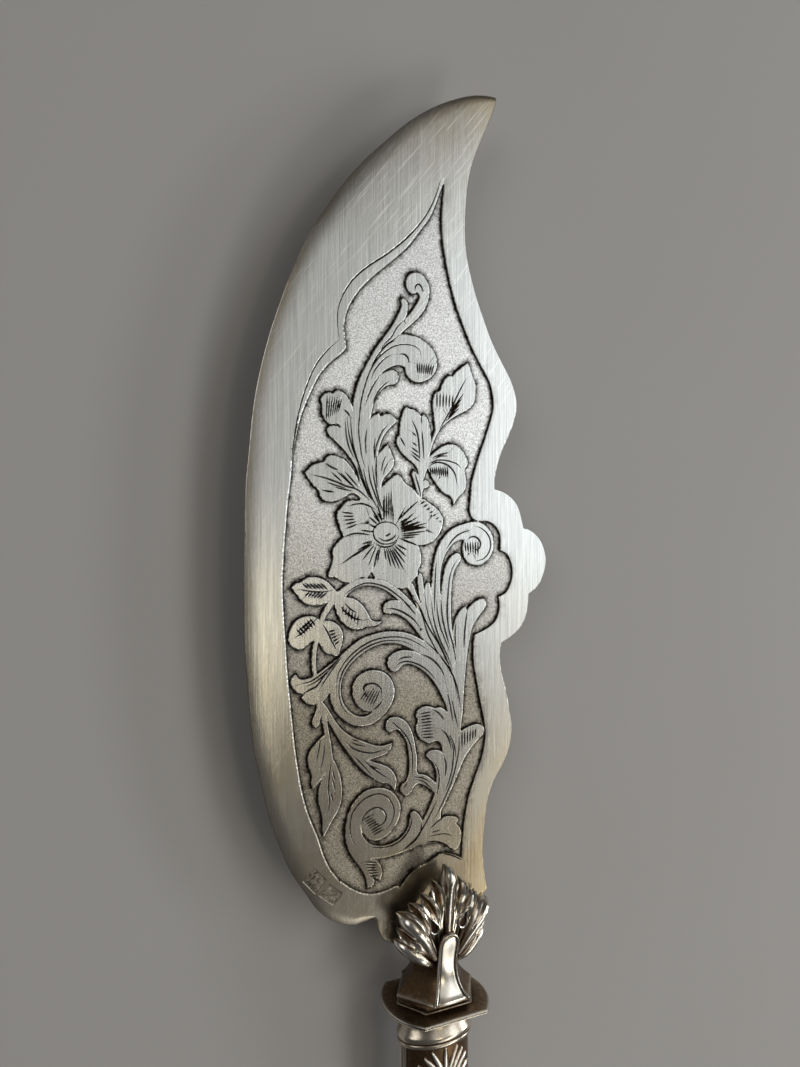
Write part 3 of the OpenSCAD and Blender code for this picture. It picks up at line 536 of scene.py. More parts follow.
HATCHES = [
    ([(417, 362), (418, 374)], [(434, 364), (431, 375)], 8),
    ([(327, 395), (326, 420)], [(342, 397), (338, 412)], 7),
    ([(341.5, 512), (353, 513.5)], [(346, 528.5), (357, 524)], 5),
    ([(384, 520), (384, 495)], [(391, 520), (391, 490)], 4),
    ([(399, 523), (408, 518)], [(400, 528), (418, 522)], 3),
    ([(400, 530), (427, 523)], [(401, 534), (426, 531)], 3),
    ([(401, 536), (420, 534)], [(401, 538), (415, 537)], 2),
    ([(396, 544), (407, 550)], [(392, 546), (405, 563)], 3),
    ([(391, 547), (404, 570)], [(386, 548), (391, 567)], 4),
    ([(384, 548), (386, 560)], [(376, 546), (368, 566)], 3),
    ([(372, 541), (362, 544)], [(371, 544), (352, 557)], 3),
    ([(400, 525), (414, 513)], [(401, 531), (424, 526)], 4),
    ([(380, 522), (371, 508)], [(384, 521), (383, 500)], 3),
    ([(374, 545), (362, 560)], [(376, 546), (368, 566)], 2),
    ([(377, 524), (369, 517)], [(382, 521), (377, 512)], 3),
    ([(376, 528), (369, 524)], [(374, 532), (360, 530)], 2),
    ([(420, 504), (425, 501)], [(439, 522), (441.5, 521)], 7),
    ([(437, 392), (437, 408)], [(453, 395), (452, 408)], 6),
    ([(464, 393), (450, 412)], [(459, 408), (446, 421)], 4),
    ([(430, 467), (431, 475)], [(447, 466), (448, 478)], 9),
    ([(465, 542), (466, 552)], [(478, 541), (478, 556)], 6),
    ([(360, 700), (367, 690)], [(372, 707), (380, 690)], 6),
    ([(420, 714), (431, 712)], [(422, 738), (434, 737)], 9),
    ([(462, 732), (462, 748)], [(476, 728), (475, 738)], 6),
    ([(363, 820), (372, 815)], [(372, 836), (384, 829)], 8),
    ([(364, 862), (377, 863)], [(369, 877), (379, 875)], 6),
    ([(302, 583.5), (308, 589)], [(320, 583), (327, 589.5)], 6),
    ([(304, 597), (309, 592)], [(319, 599), (327, 592)], 6),
    ([(343, 606), (342, 613)], [(358, 615), (357, 626)], 6),
    ([(296, 629), (302, 636)], [(309, 618), (315, 626)], 6),
    ([(328, 632), (335, 630)], [(334, 645), (339, 641)], 5),
]
# Narrow groove that runs beside the upper left edge of the panel
BORDER_GROOVE = [
    [(440.7, 180), (435, 197.5), (428, 212), (416, 228), (402, 242), (385, 255), (368, 266), (353, 279), (343, 294),
     (338, 309), (337.5, 324), (339, 339.5)],
    [(339, 339.5), (329, 348), (316, 364), (306, 387), (299, 410), (294.5, 433), (291, 461)],
]
# Two small square punches at the heel, left blank, with a dot above them
PUNCHES = [
    [(314, 868), (327, 880), (315, 895), (302, 882)], [(329, 884), (343, 893), (333, 906), (318, 896)],
    [(337.5, 880), (339, 879), (340.5, 880.5), (339, 882.5)],
]

# The blade's own outline: the cutting edge from the tip, then the small tab at the heel
CUTTING_EDGE = [
    (497, 97), (488, 95), (471, 95), (454, 99), (431, 108), (408, 122), (385, 141), (362, 162), (342, 185),
    (325, 209), (310, 232), (299, 255), (289, 278), (279, 305), (270, 332), (262, 362), (256, 390),
    (252, 418), (249, 450), (246, 481), (245, 505), (244.7, 536), (243.8, 573), (243.8, 610), (244.4, 646),
    (247, 683), (250, 720), (255, 757), (261, 784), (268, 815), (279, 846), (291, 873), (304, 892),
    (319, 912), (334, 922), (353, 926), (365, 923), (375, 919.5),
]
HEEL_TAB = [(377, 919.5), (378.5, 930), (384, 940), (390, 942)]
# Root inside the leaf cup, in mm along the knife
ROOT = [(-7.44, 14.5), (-5.63, 11.34), (-4.67, 8.4), (4.67, 8.4), (5.63, 11.34), (7.44, 14.5), (8.6, 17.44)]
BLADE_BACK = [
    [(487, 889), (484, 868), (483, 853), (484, 832), (486, 813), (489, 796), (494, 781), (502, 766), (508, 752),
     (511, 739), (512, 726), (510, 712), (506, 690), (501.6, 672), (500, 655), (501.5, 643)],
    [(510.6, 637), (520, 628), (526, 616), (528, 606.5), (529, 594)],
    [(537, 587), (543, 576), (546, 564), (545, 551), (540, 539), (530.5, 530), (524, 528)],
    [(518, 506), (511, 497), (502, 491), (495, 489)],
    [(495, 478), (498, 464), (502, 451), (509.5, 434), (515, 418), (517, 404), (515, 392), (511, 380), (502, 362),
     (492, 341), (484, 319), (477, 298), (471, 275), (467, 255), (465.4, 232), (466, 209), (468, 186), (472, 166),
     (479, 146), (487, 127), (494, 109), (497, 97)],
]


# ---------------------------------------------------------------- the blade as one relief, in mm

FINE = 0.05                 # spacing of the dense samples
STEP = 0.28                 # spacing of the mesh's points along an ornament's edge
CUT_STEP = 0.4              # and along an engraved line
FINE_CUT_STEP = 0.08        # with its dense samples
GROUND_STEP = 0.62          # and of the loose points on the matted ground
GROUND_SCATTER = 0.25       # how far each of these is thrown off its grid
GRAIN = 0.01                # and up or down
LEVEL_EVERY = 5             # level metal takes one in so many of them
OUTLINE_STEP = 0.6
FINE_OUTLINE_STEP = 0.1
CUTTING_STEP = 0.15
BEVEL_STEP = 0.9
BEVEL_RINGS = (0.12, 0.25, 0.4, 0.6, 0.8, 1.0)
BACK_STEPS = (1.3, 1.7)     # across and along the plain back
BEADED_SIDE = np.array([0.8, 0.6])  # the beads run along the part of the rim that faces this way
LEAST_FACING = 0.15         # by at least so much,
BEADED_BEFORE = -2          # and lies nearer to the cutting edge than this
PUNCH_TARNISH = (0.3, 0.3, 1)
RIM_TARNISH = 0.04
WALL_RINGS = (1, 2.2, 4)    # rings of points round an ornament, in widths of its wall
GROUND_ROOM = 4.2           # least distance of the loose points beyond them, in the same widths
RING_ROOM = 0.88            # share of its own distance that a ring keeps from other edges
BEVEL_ROOM = 0.35           # least distance from the outline, of the bevel's points,
LEVEL_ROOM = 0.8            # of the level metal's points,
BACK_ROOM = 0.6             # and of the plain back's
ON_EDGE = 0.012             # what is nearer than this lies on the edge itself


class Samples:
    """Dense points along lines, for the distance from anywhere to the nearest line."""

    def __init__(self, points, facts=None):
        self.facts = facts
        self.tree = KDTree(len(points))
        for i, p in enumerate(points):
            self.tree.insert((p[0], p[1], 0), i)
        self.tree.balance()

    def distance(self, points):
        found = [self.tree.find((p[0], p[1], 0)) for p in points]
        away = np.array([f[2] for f in found])
        if self.facts is None:
            return away
        return away, self.facts[[f[1] for f in found]]


class Plan:
    """Points and lines that a face's triangles have to keep, after the outline that bounds them."""

    def __init__(self, outline):
        self.points, self.lines, self.rim = [], [], len(outline)
        self.line(outline, loop=True)

    def loose(self, points):
        """Takes points that no line joins."""
        self.points += [Vector(p) for p in points]

    def line(self, points, keep=None, loop=False):
        """Takes points with a line through those of them to keep."""
        first, n = len(self.points), len(points)
        self.loose(points)
        for i in range(n if loop else n - 1):
            j = (i + 1) % n
            if keep is None or keep[i] or keep[j]:
                self.lines.append((first + i, first + j))

    def filled(self):
        """The face's points, its triangles, and which of the points follow the outline."""
        made = delaunay_2d_cdt(self.points, self.lines, [list(range(self.rim))], 1, 1e-4)
        at = {o: i for i, origins in enumerate(made[3]) for o in origins if o < self.rim}
        return np.array([(v.x, v.y) for v in made[0]]), made[2], [at[k] for k in range(self.rim)]


def outline_runs():
    back = [on_blade(run) for run in BLADE_BACK]
    return [on_blade(CUTTING_EDGE[1:]), on_blade(HEEL_TAB), ROOT[:3], [ROOT[3]], ROOT[4:] + [back[0][0]],
            back[0][1:], *back[1:]]


def bevel_widths(n):
    """The bevel's width at n places along the cutting edge."""
    bulge = np.sqrt(np.sin(np.pi * np.linspace(0, 1, n)))
    return BEVEL_WIDTH * (LEAST_BEVEL_SHARE + (1 - LEAST_BEVEL_SHARE) * bulge)


def edge_drops(points, bevel, rim):
    """How far the bevel and then the rounded edge take a face's points down."""
    yield (BLADE_THICKNESS - EDGE_THICKNESS) / 2 * fade(*bevel.distance(points)) ** 2
    yield EDGE_DROP * fade(rim.distance(points), EDGE_ROUNDING)


def swelling(half_width, n):
    """Half-widths of an engraved line, fine at both ends."""
    return half_width * np.maximum(np.sin(np.pi * np.linspace(0, 1, n)), 0.02) ** 0.5


def all_cuts():
    """Every engraved line in mm with its greatest half-width."""
    hatching = []
    for first, last, rows in HATCHES:
        for k in range(rows):
            t = k / (rows - 1)
            hatching.append([tuple(a + (b - a) * t for a, b in zip(p, q)) for p, q in zip(first, last)])
    return [(on_blade(line), half_width)
            for lines, half_width in ((BROAD_CUTS, BROAD_HALF_WIDTH), (FINE_CUTS, FINE_HALF_WIDTH),
                                      (hatching, HATCH_HALF_WIDTH), (BORDER_GROOVE, GROOVE_HALF_WIDTH))
            for line in lines]


def relief():
    """The engraved face: points, heights over it, how dark each is from oxide and from painted shade on the cut walls,
    how matted each is, triangles and rim.

    The outline and the bevel come last, for the plain back.
    """
    rng = random.Random(7)
    runs = {name: [on_blade(run) for run in runs] for name, runs in [("panel", PANEL), *ORNAMENT.items()]}
    dense = {name: closed(run, FINE) for name, run in runs.items()}
    panel = dense["panel"]
    punches = [closed([[q] for q in on_blade(punch)], STEP) for punch in PUNCHES]

    def on_ornament(points, but=None):
        hit = np.zeros(len(points), bool)
        for name, loop in dense.items():
            if name not in ("panel", but):
                hit |= inside(points, loop)
        return hit

    def showing(name, loop):
        """Which points of an edge lie on no other ornament, and inside the panel."""
        kept = ~on_ornament(loop, name)
        return kept if name == "panel" else kept & inside(loop, panel)

    # edges between level metal and the sunk ground, and how dark the cut wall below each is: walls that face the
    # cutting edge, and a little those that face the tip, are painted dark as shade, and the others are left bright as
    # lit
    edges, facts = [], []
    for name, loop in dense.items():
        kept = showing(name, loop)
        facing = (offset(loop, -1 if name == "panel" else 1) - loop)[kept]
        wall = np.clip(0.5 - 0.5 * facing[:, 0] + 0.15 * facing[:, 1], 0.05, 0.95)
        chamfer = np.full(len(wall), RIM_DROP)
        if name == "panel":
            beaded = (facing @ BEADED_SIDE > LEAST_FACING) & (loop[kept, 0] < BEADED_BEFORE)
            wall = np.where(beaded, 0.0, wall)
            beads = BEAD_DROP + BEAD_SWING * np.sin(np.arange(len(beaded)) * 2 * np.pi * FINE / BEAD_SPACING)
            chamfer = np.where(beaded, beads, RIM_DROP)
        edges.append(loop[kept])
        facts.append(np.stack([wall, chamfer], axis=1))
    edge = Samples(np.vstack(edges), np.vstack(facts))

    outline = closed(outline_runs(), OUTLINE_STEP)
    rim = Samples(closed(outline_runs(), FINE_OUTLINE_STEP))
    cutting = smooth(on_blade(CUTTING_EDGE), CUTTING_STEP)
    bevel = Samples(cutting, bevel_widths(len(cutting)))

    def clear_of_rim(points, least):
        keep = inside(points, outline)
        keep[keep] = rim.distance(points[keep]) > least
        return keep

    plan = Plan(outline)
    inner = offset(outline, -EDGE_ROUNDING)
    plan.loose(inner[clear_of_rim(inner, EDGE_ROUNDING * 0.8)])
    line = np.array(smooth(on_blade(CUTTING_EDGE), BEVEL_STEP))
    for share in BEVEL_RINGS:
        ring = line + left_of(line) * (bevel_widths(len(line)) * share)[:, None]
        plan.loose(ring[clear_of_rim(ring, BEVEL_ROOM)])

    for name, run in runs.items():
        loop = closed(run, STEP)
        kept = showing(name, loop)
        plan.line(loop, kept, loop=True)
        for away in (-BEAD_RUN if name == "panel" else -RIM_RUN, *(share * WALL_RUN for share in WALL_RINGS)):
            ring = offset(loop, -away if name == "panel" else away)[kept]
            if len(ring):
                plan.loose(ring[edge.distance(ring)[0] > RING_ROOM * abs(away)])

    cut_points, cut_widths = [], []
    for knots, half_width in all_cuts():
        fine = smooth(knots, FINE_CUT_STEP)
        cut_points += fine
        cut_widths += list(swelling(half_width, len(fine)))
        line = np.array(smooth(knots, CUT_STEP))
        aside = left_of(line) * swelling(half_width, len(line))[:, None]
        plan.line(line)
        plan.loose(np.vstack([line + aside, line - aside]))
    cuts = Samples(cut_points, np.array(cut_widths))

    for punch in punches:
        for away in (0, -PUNCH_WALL):
            plan.line(offset(punch, away), loop=True)

    low, high = outline.min(axis=0), outline.max(axis=0)
    spots = []
    y = low[1]
    while y < high[1]:
        x = low[0]
        while x < high[0]:
            spots.append((x + rng.uniform(-GROUND_SCATTER, GROUND_SCATTER),
                          y + rng.uniform(-GROUND_SCATTER, GROUND_SCATTER)))
            x += GROUND_STEP
        y += GROUND_STEP
    spots = np.array(spots)
    in_panel = inside(spots, panel)
    sunk = spots[in_panel]
    sunk = sunk[~on_ornament(sunk)]
    plan.loose(sunk[edge.distance(sunk)[0] > GROUND_ROOM * WALL_RUN])
    level = spots[~in_panel][::LEVEL_EVERY]
    plan.loose(level[clear_of_rim(level, LEVEL_ROOM)])
    points, triangles, rim_loop = plan.filled()

    heights, tarnish_and_shade = np.zeros(len(points)), np.zeros(len(points))
    from_edge, facts = edge.distance(points)
    wall, chamfer = facts.T
    sunk = inside(points, panel) & ~on_ornament(points) & (from_edge > ON_EDGE)
    run = np.where(chamfer > LEAST_BEAD_DROP, BEAD_RUN, RIM_RUN)
    top = ~sunk & (from_edge < run)
    heights[top] -= (chamfer * fade(from_edge, run))[top]
    tarnish_and_shade[top] = RIM_TARNISH * (1 - from_edge[top] / RIM_RUN) * (chamfer[top] < LEAST_BEAD_DROP)
    s = from_edge[sunk] / WALL_RUN
    depth = np.where(s < 1, RIM_DROP + (PANEL_DEPTH + FOOT_DROP - RIM_DROP) * s,
                     PANEL_DEPTH + FOOT_DROP * np.clip(2.2 - s, 0, 1.2) / 1.2)
    jitter = np.array([rng.uniform(-GRAIN, GRAIN) for _ in range(int(sunk.sum()))])
    heights[sunk] = -depth + np.where(s > 1.5, jitter, 0)
    # the oxide thickens down the wall and thins out again over eight widths of it; the wall and the ground
    # beside it are also darker the more the wall faces the cutting edge, as painted shade
    w = wall[sunk]
    tarnish_and_shade[sunk] = np.where(s < 1, w * (0.5 + 0.5 * s) + 0.2 * s * (1 - w),
                             np.clip((0.7 + 0.3 * w) * (1 - (s - 1) / 8), 0, 1) ** 1.7)
    matt = np.where(sunk, np.clip((from_edge / WALL_RUN - 0.8) / 0.6, 0, 1), 0)

    away, half_width = cuts.distance(points)
    share = fade(away, half_width) * ~sunk
    heights -= share * half_width * CUT_DEPTH_SHARE
    tarnish_and_shade = np.maximum(tarnish_and_shade, np.clip(share * 4, 0, 1))

    for punch, dark in zip(punches, PUNCH_TARNISH):
        hit = inside(points, offset(punch, -PUNCH_EDGE))
        heights[hit] -= PUNCH_DEPTH
        tarnish_and_shade[hit] = dark
        matt[hit] = 1

    for drop in edge_drops(points, bevel, rim):
        heights -= drop
    return points, heights, tarnish_and_shade, matt, triangles, rim_loop, outline, bevel


def build_blade():
    points, heights, tarnish_and_shade, matt, triangles, rim_loop, outline, bevel = relief()
    # the outline's curves swing up to 0.12 mm past the solid's, and are drawn in to it
    within = {True: BLADE_REACH[0] / outline[:, 0].min(), False: BLADE_REACH[1] / outline[:, 0].max()}

    def placed(points, face, heights):
        return [(x * within[x < 0], y, face + h) for (x, y), h in zip(points, heights)]

    # plain back with the same bevel
    plan = Plan(outline)
    inner = offset(outline, -EDGE_ROUNDING)
    plan.loose(inner[inside(inner, outline)])
    across, along = (np.arange(a, b, step) for a, b, step
                     in zip(outline.min(axis=0), outline.max(axis=0), BACK_STEPS))
    grid = np.array([(x, y) for x in across for y in along])
    plan.loose(grid[inside(grid, offset(outline, -BACK_ROOM))])
    back, back_triangles, back_loop = plan.filled()
    sink = sum(edge_drops(back, bevel, Samples(outline)))

    first, n = len(points), len(outline)
    verts = placed(points, AXIS_HEIGHT + BLADE_THICKNESS / 2, heights)
    verts += placed(back, AXIS_HEIGHT - BLADE_THICKNESS / 2, sink)
    faces = [list(t) for t in triangles] + [[first + i for i in reversed(t)] for t in back_triangles]
    for k in range(n):
        j = (k + 1) % n
        faces.append([rim_loop[j], rim_loop[k], first + back_loop[k], first + back_loop[j]])
    plain = [0.0] * len(back)
    return finish_piece("blade_engraved", verts, faces, {"tarnish_and_shade": [*tarnish_and_shade, *plain], "matted": [*matt, *plain]},
                        "blade", SILVER_SHEET, sharp=5)


def finish_piece(name, verts, faces, layers, node, material, sharp):
    """Makes the object from mm, smooths it over all but its sharp edges, and puts it in the CAD node's place."""
    mesh = bpy.data.meshes.new(name)
    mesh.from_pydata([tuple(c * MM for c in v) for v in verts], [], faces)
    for layer, values in layers.items():
        mesh.attributes.new(layer, "FLOAT", "POINT").data.foreach_set("value", values)
    mesh.update()
    mesh.validate()
    mesh.shade_smooth()
    mesh.set_sharp_from_angle(angle=math.radians(sharp))
    mesh.materials.append(material)
    piece = bpy.data.objects.new(name, mesh)
    bpy.context.scene.collection.objects.link(piece)
    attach(piece, "root")
    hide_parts(node)
    return piece


# ---------------------------------------------------------------- materials

def linear(hex_colour):
    """An sRGB hex colour as the linear RGBA that Blender's sockets take."""
    parts = [int(hex_colour[i:i + 2], 16) / 255 for i in (1, 3, 5)]
    return tuple(c / 12.92 if c <= 0.04045 else ((c + 0.055) / 1.055) ** 2.4 for c in parts) + (1,)


def add(tree, kind, inputs=None, **settings):
    """One node with its settings. An input takes a value, a hex colour, an output, or a node for its output in use."""
    made = tree.nodes.new("ShaderNode" + kind)
    for key, value in settings.items():
        setattr(made, key, value)
    for key, value in (inputs or {}).items():
        if isinstance(value, bpy.types.Node):
            value = next(output for output in value.outputs if output.enabled)
        if isinstance(value, bpy.types.NodeSocket):
            tree.links.new(value, made.inputs[key])
        else:
            made.inputs[key].default_value = linear(value) if isinstance(value, str) else value
    return made


def new_material(name):
    """An empty material, its tree, and the place in the object that its patterns follow."""
    material = bpy.data.materials.new(name)
    material.use_nodes = True
    material.node_tree.nodes.clear()
    return material, material.node_tree, add(material.node_tree, "TexCoord").outputs["Object"]


def shaded(material, **inputs):
    """The material with its shader, whose inputs are named with _ for a space."""
    tree = material.node_tree
    shader = add(tree, "BsdfPrincipled", {key.replace("_", " "): value for key, value in inputs.items()})
    add(tree, "OutputMaterial", {"Surface": shader})
    return material


def per_mm(size):
    """Scale that makes a pattern repeat every so many millimetres."""
    return 1 / (size * MM)


def sheet_silver():
    """Rolled silver sheet, satin from lengthwise polishing, with brown oxide left in the engraving.

    It gives a soft grey gleam drawn out along the blade, a grainy matted ground and dark lines, and paints shade on the
    cut walls round the ornament that face the cutting edge.
    """
    material, tree, place = new_material("silver sheet, brushed and matted")
    # the tarnish attribute holds the oxide and also the painted shade on the cut walls round the ornament
    tarnish_and_shade, matted = (add(tree, "Attribute", attribute_name=name).outputs["Fac"] for name in ("tarnish_and_shade", "matted"))

    # polishing lines 0.3 mm apart and about 15 mm long
    stretched = add(tree, "Mapping", {"Vector": place, "Scale": (1, 1 / 50, 1)})
    lines = add(tree, "TexNoise", {"Vector": stretched, "Scale": per_mm(0.3), "Detail": 3.0, "Roughness": 0.7})
    # punch marks of the matting tool, 0.28 mm apart
    grain = add(tree, "TexNoise", {"Vector": place, "Scale": per_mm(0.28), "Detail": 2.0, "Roughness": 0.7})
    fine = add(tree, "TexNoise", {"Vector": place, "Scale": per_mm(0.7), "Detail": 4.0, "Roughness": 0.65})
    clouds = add(tree, "TexNoise", {"Vector": place, "Scale": per_mm(24), "Detail": 4.0, "Roughness": 0.6})

    # stray scratches across the blade, 0.3 mm apart, kept only where the noise peaks
    slanted = add(tree, "Mapping", {"Vector": place, "Rotation": (0, 0, math.radians(-38)), "Scale": (1, 45, 1)},
                  vector_type="TEXTURE")
    nicks = add(tree, "TexNoise", {"Vector": slanted, "Scale": per_mm(0.3), "Detail": 2.0})
    scratch = add(tree, "MapRange", {"Value": nicks, "From Min": 0.59, "From Max": 0.7})

    # the oxide, with the painted shade on the cut walls, breaks up into grains where it thins out
    worn = add(tree, "Math", {0: fine, 1: 0.5}, operation="SUBTRACT")
    spread = add(tree, "Math", {0: worn, 1: 1.6, 2: tarnish_and_shade}, operation="MULTIPLY_ADD")
    some = add(tree, "Math", {0: tarnish_and_shade, 1: 5.0}, operation="MULTIPLY", use_clamp=True)
    oxide_and_shade = add(tree, "Math", {0: spread, 1: some}, operation="MULTIPLY", use_clamp=True)

    # warm tarnish towards the tip and towards the heel, in clouds
    parts = add(tree, "SeparateXYZ", {"Vector": place})
    across, along = parts.outputs["X"], parts.outputs["Y"]
    low = add(tree, "MapRange", {"Value": along, "From Min": 0.100, "From Max": 0.030})
    high = add(tree, "MapRange", {"Value": along, "From Min": 0.160, "From Max": 0.205})
    ends = add(tree, "Math", {0: low, 1: high}, operation="MAXIMUM")
    # and along the thinned cutting edge, which lies up to 0.35 mm lower
    edge = add(tree, "MapRange", {"Value": parts.outputs["Z"], "From Min": 0.01038, "From Max": 0.01012,
                                  "To Max": 0.75})
    cutting = add(tree, "MapRange", {"Value": across, "From Min": 0.0, "From Max": -0.012})
    edge = add(tree, "Math", {0: edge, 1: cutting}, operation="MULTIPLY")
    ends = add(tree, "Math", {0: ends, 1: edge}, operation="MAXIMUM")
    patchy = add(tree, "MapRange", {"Value": clouds, "From Min": 0.3, "From Max": 0.7, "To Min": 0.35, "To Max": 1.0})
    warm = add(tree, "Math", {0: ends, 1: patchy}, operation="MULTIPLY")

    streaks = add(tree, "MapRange", {"Value": lines, "From Min": 0.3, "From Max": 0.7})
    bright = add(tree, "Mix", {0: streaks, 6: "#BBBEBD", 7: "#DDE0DF"}, data_type="RGBA")
    # a grey-brown film towards the cutting edge, and a thin straw-coloured one along the back
    back = add(tree, "MapRange", {"Value": across, "From Min": 0.006, "From Max": 0.020})
    film = add(tree, "Mix", {0: back, 6: "#9B8E74", 7: "#D2C19A"}, data_type="RGBA")
    bright = add(tree, "Mix", {0: warm, 6: bright, 7: film}, data_type="RGBA")
    # the bright scratches show most on the half towards the tip
    used = add(tree, "MapRange", {"Value": along, "From Min": 0.09, "From Max": 0.15, "To Min": 0.12, "To Max": 0.5})
    worn_line = add(tree, "Math", {0: scratch, 1: used}, operation="MULTIPLY")
    bright = add(tree, "Mix", {0: worn_line, 6: bright, 7: "#EFEEEA"}, data_type="RGBA")
    # the matted ground, grey above and brown below
    speckle = add(tree, "MapRange", {"Value": grain, "From Min": 0.36, "From Max": 0.62})
    grey = add(tree, "Mix", {0: speckle, 6: "#B2B4B3", 7: "#FFFFFF"}, data_type="RGBA")
    brown = add(tree, "Mix", {0: speckle, 6: "#6A6459", 7: "#B2ADA1"}, data_type="RGBA")
    dusk = add(tree, "MapRange", {"Value": along, "From Min": 0.115, "From Max": 0.065})
    grey = add(tree, "Mix", {0: dusk, 6: grey, 7: brown}, data_type="RGBA")
    surface = add(tree, "Mix", {0: matted, 6: bright, 7: grey}, data_type="RGBA")
    # near black where the oxide and the painted shade on the cut walls are thickest
    black = add(tree, "Math", {0: oxide_and_shade, 1: 1.4}, operation="MULTIPLY", use_clamp=True)
    colour = add(tree, "Mix", {0: black, 6: surface, 7: "#211912"}, data_type="RGBA")

    rough = add(tree, "MapRange", {"Value": oxide_and_shade, "To Min": 0.26, "To Max": 0.55})
    rougher = add(tree, "Math", {0: matted, 1: 0.07, 2: rough}, operation="MULTIPLY_ADD")
    bare = add(tree, "MapRange", {"Value": warm, "To Min": 1.0, "To Max": 0.92})
    height = add(tree, "Math", {0: grain, 1: matted}, operation="MULTIPLY")
    dents = add(tree, "Bump", {"Height": height, "Distance": 0.0001, "Strength": 0.52})
    brushed = add(tree, "Bump", {"Height": lines, "Distance": 0.000018, "Strength": 0.7, "Normal": dents})
    return shaded(material, Base_Color=colour, Roughness=rougher, Metallic=bare, Normal=brushed)


def oxidised_silver(name, bright, creamy, satin):
    """Worked silver, rubbed bright on its swellings, with dark brown oxide in its hollows.

    It gives strong window reflections on the leaves and near-black gaps between them.
    """
    material, tree, place = new_material(name)
    # the tarnish attribute holds the oxide, and also painted shade in the eyelets' holes and on the rolled leaf tips
    tarnish_and_shade = add(tree, "Attribute", attribute_name="tarnish_and_shade").outputs["Fac"]
    fine = add(tree, "TexNoise", {"Vector": place, "Scale": per_mm(0.8), "Detail": 4.0, "Roughness": 0.6})
    patches = add(tree, "TexNoise", {"Vector": place, "Scale": per_mm(5), "Detail": 3.0})
    worn = add(tree, "Math", {0: fine, 1: 0.5}, operation="SUBTRACT")
    spread = add(tree, "Math", {0: worn, 1: 0.5, 2: tarnish_and_shade}, operation="MULTIPLY_ADD")
    dull = add(tree, "MapRange", {"Value": spread, "From Min": 0.0, "From Max": 1.0})
    rubbed = add(tree, "MapRange", {"Value": tarnish_and_shade, "From Min": 0.0, "From Max": -0.3})
    film = add(tree, "MapRange", {"Value": dull, "From Max": 0.6})
    # the darkest brown is oxide, and painted shade in the eyelets' holes
    crust_and_shade = add(tree, "MapRange", {"Value": dull, "From Min": 0.6})
    colour = add(tree, "Mix", {0: patches, 6: bright, 7: creamy}, data_type="RGBA")
    for share, tint in ((rubbed, "#F7F4ED"), (film, "#7C6349"), (crust_and_shade, "#2B1B0F")):
        colour = add(tree, "Mix", {0: share, 6: colour, 7: tint}, data_type="RGBA")
    rough = add(tree, "MapRange", {"Value": dull, "To Min": satin, "To Max": 0.42})
    bare = add(tree, "MapRange", {"Value": dull, "To Min": 1.0, "To Max": 0.85})
    return shaded(material, Base_Color=colour, Roughness=rough, Metallic=bare)


def forged_steel():
    """Steel left black from the forge: dark blue-grey scale with rusty specks in its pits."""
    material, tree, place = new_material("forged steel with its black scale")
    scale = add(tree, "TexNoise", {"Vector": place, "Scale": per_mm(2.5), "Detail": 5.0})
    pits = add(tree, "TexVoronoi", {"Vector": place, "Scale": per_mm(1.4)})
    rusty = add(tree, "MapRange", {"Value": pits, "From Min": 0.3, "From Max": 0.1})
    grey = add(tree, "Mix", {0: scale, 6: "#3F4143", 7: "#6A6C6E"}, data_type="RGBA")
    colour = add(tree, "Mix", {0: rusty, 6: grey, 7: "#5A3B26"}, data_type="RGBA")
    rough = add(tree, "MapRange", {"Value": scale, "To Min": 0.45, "To Max": 0.7})
    bumps = add(tree, "Bump", {"Height": scale, "Distance": 0.0002, "Strength": 0.6})
    return shaded(material, Base_Color=colour, Metallic=0.85, Roughness=rough, Normal=bumps)


def pitch_cement():
    """Set cement of pitch and brick dust: matt, near black, with reddish grains."""
    material, tree, place = new_material("cement of pitch and brick dust")
    dust = add(tree, "TexVoronoi", {"Vector": place, "Scale": per_mm(0.6)})
    lumps = add(tree, "TexNoise", {"Vector": place, "Scale": per_mm(3), "Detail": 4.0})
    grain = add(tree, "MapRange", {"Value": dust, "From Min": 0.35, "From Max": 0.15})
    pitch = add(tree, "Mix", {0: lumps, 6: "#1E1512", 7: "#3A2820"}, data_type="RGBA")
    colour = add(tree, "Mix", {0: grain, 6: pitch, 7: "#7A4230"}, data_type="RGBA")
    bumps = add(tree, "Bump", {"Height": lumps, "Distance": 0.0003, "Strength": 0.7})
    return shaded(material, Base_Color=colour, Roughness=0.8, Normal=bumps)


def floor_paper():
    """Matt grey paper with faint clouds, which gives the blade a quiet background and soft light from below."""
    material, tree, place = new_material("pale grey paper")
    soft = add(tree, "TexNoise", {"Vector": place, "Scale": per_mm(120), "Detail": 2.0})
    colour = add(tree, "Mix", {0: soft, 6: "#C0BEBD", 7: "#C6C5C4"}, data_type="RGBA")
    return shaded(material, Base_Color=colour, Roughness=0.9, Specular_IOR_Level=0.1)


SILVER_SHEET = sheet_silver()
SILVER_CAST = oxidised_silver("cast silver, polished and oxidised", "#EDE7DB", "#D6CBB6", 0.24)
SILVER_HANDLE = oxidised_silver("stamped silver, polished and oxidised", "#E4DED2", "#CFC5B2", 0.3)


# ---------------------------------------------------------------- the cast bolster

# All in mm, from the knife's long axis and the top of the plate's rim
PLATE_WIDTH, PLATE_DEPTH, PLATE_FRONT = 23.4, 19.6, 15.0
LEAF_ROWS = 30
LEAF_ROUNDING = 0.07        # how far the leaves lean outwards, for each mm from the middle
BOWL_ROWS, BOWL_SIDES = 34, 22
CORNER_RUN = 0.12           # from a hexagon's corner to the points that keep it crisp
TONGUE_ROWS = 46
TONGUE_SWELL = 0.14         # how far its field is domed, highest at two thirds across
EYELET_SIDES, EYELET_WIRE_SIDES = 36, 8
EYELET_WIRE, EYELET_RISE = 0.24, 0.3
OVAL_SIDES = 96


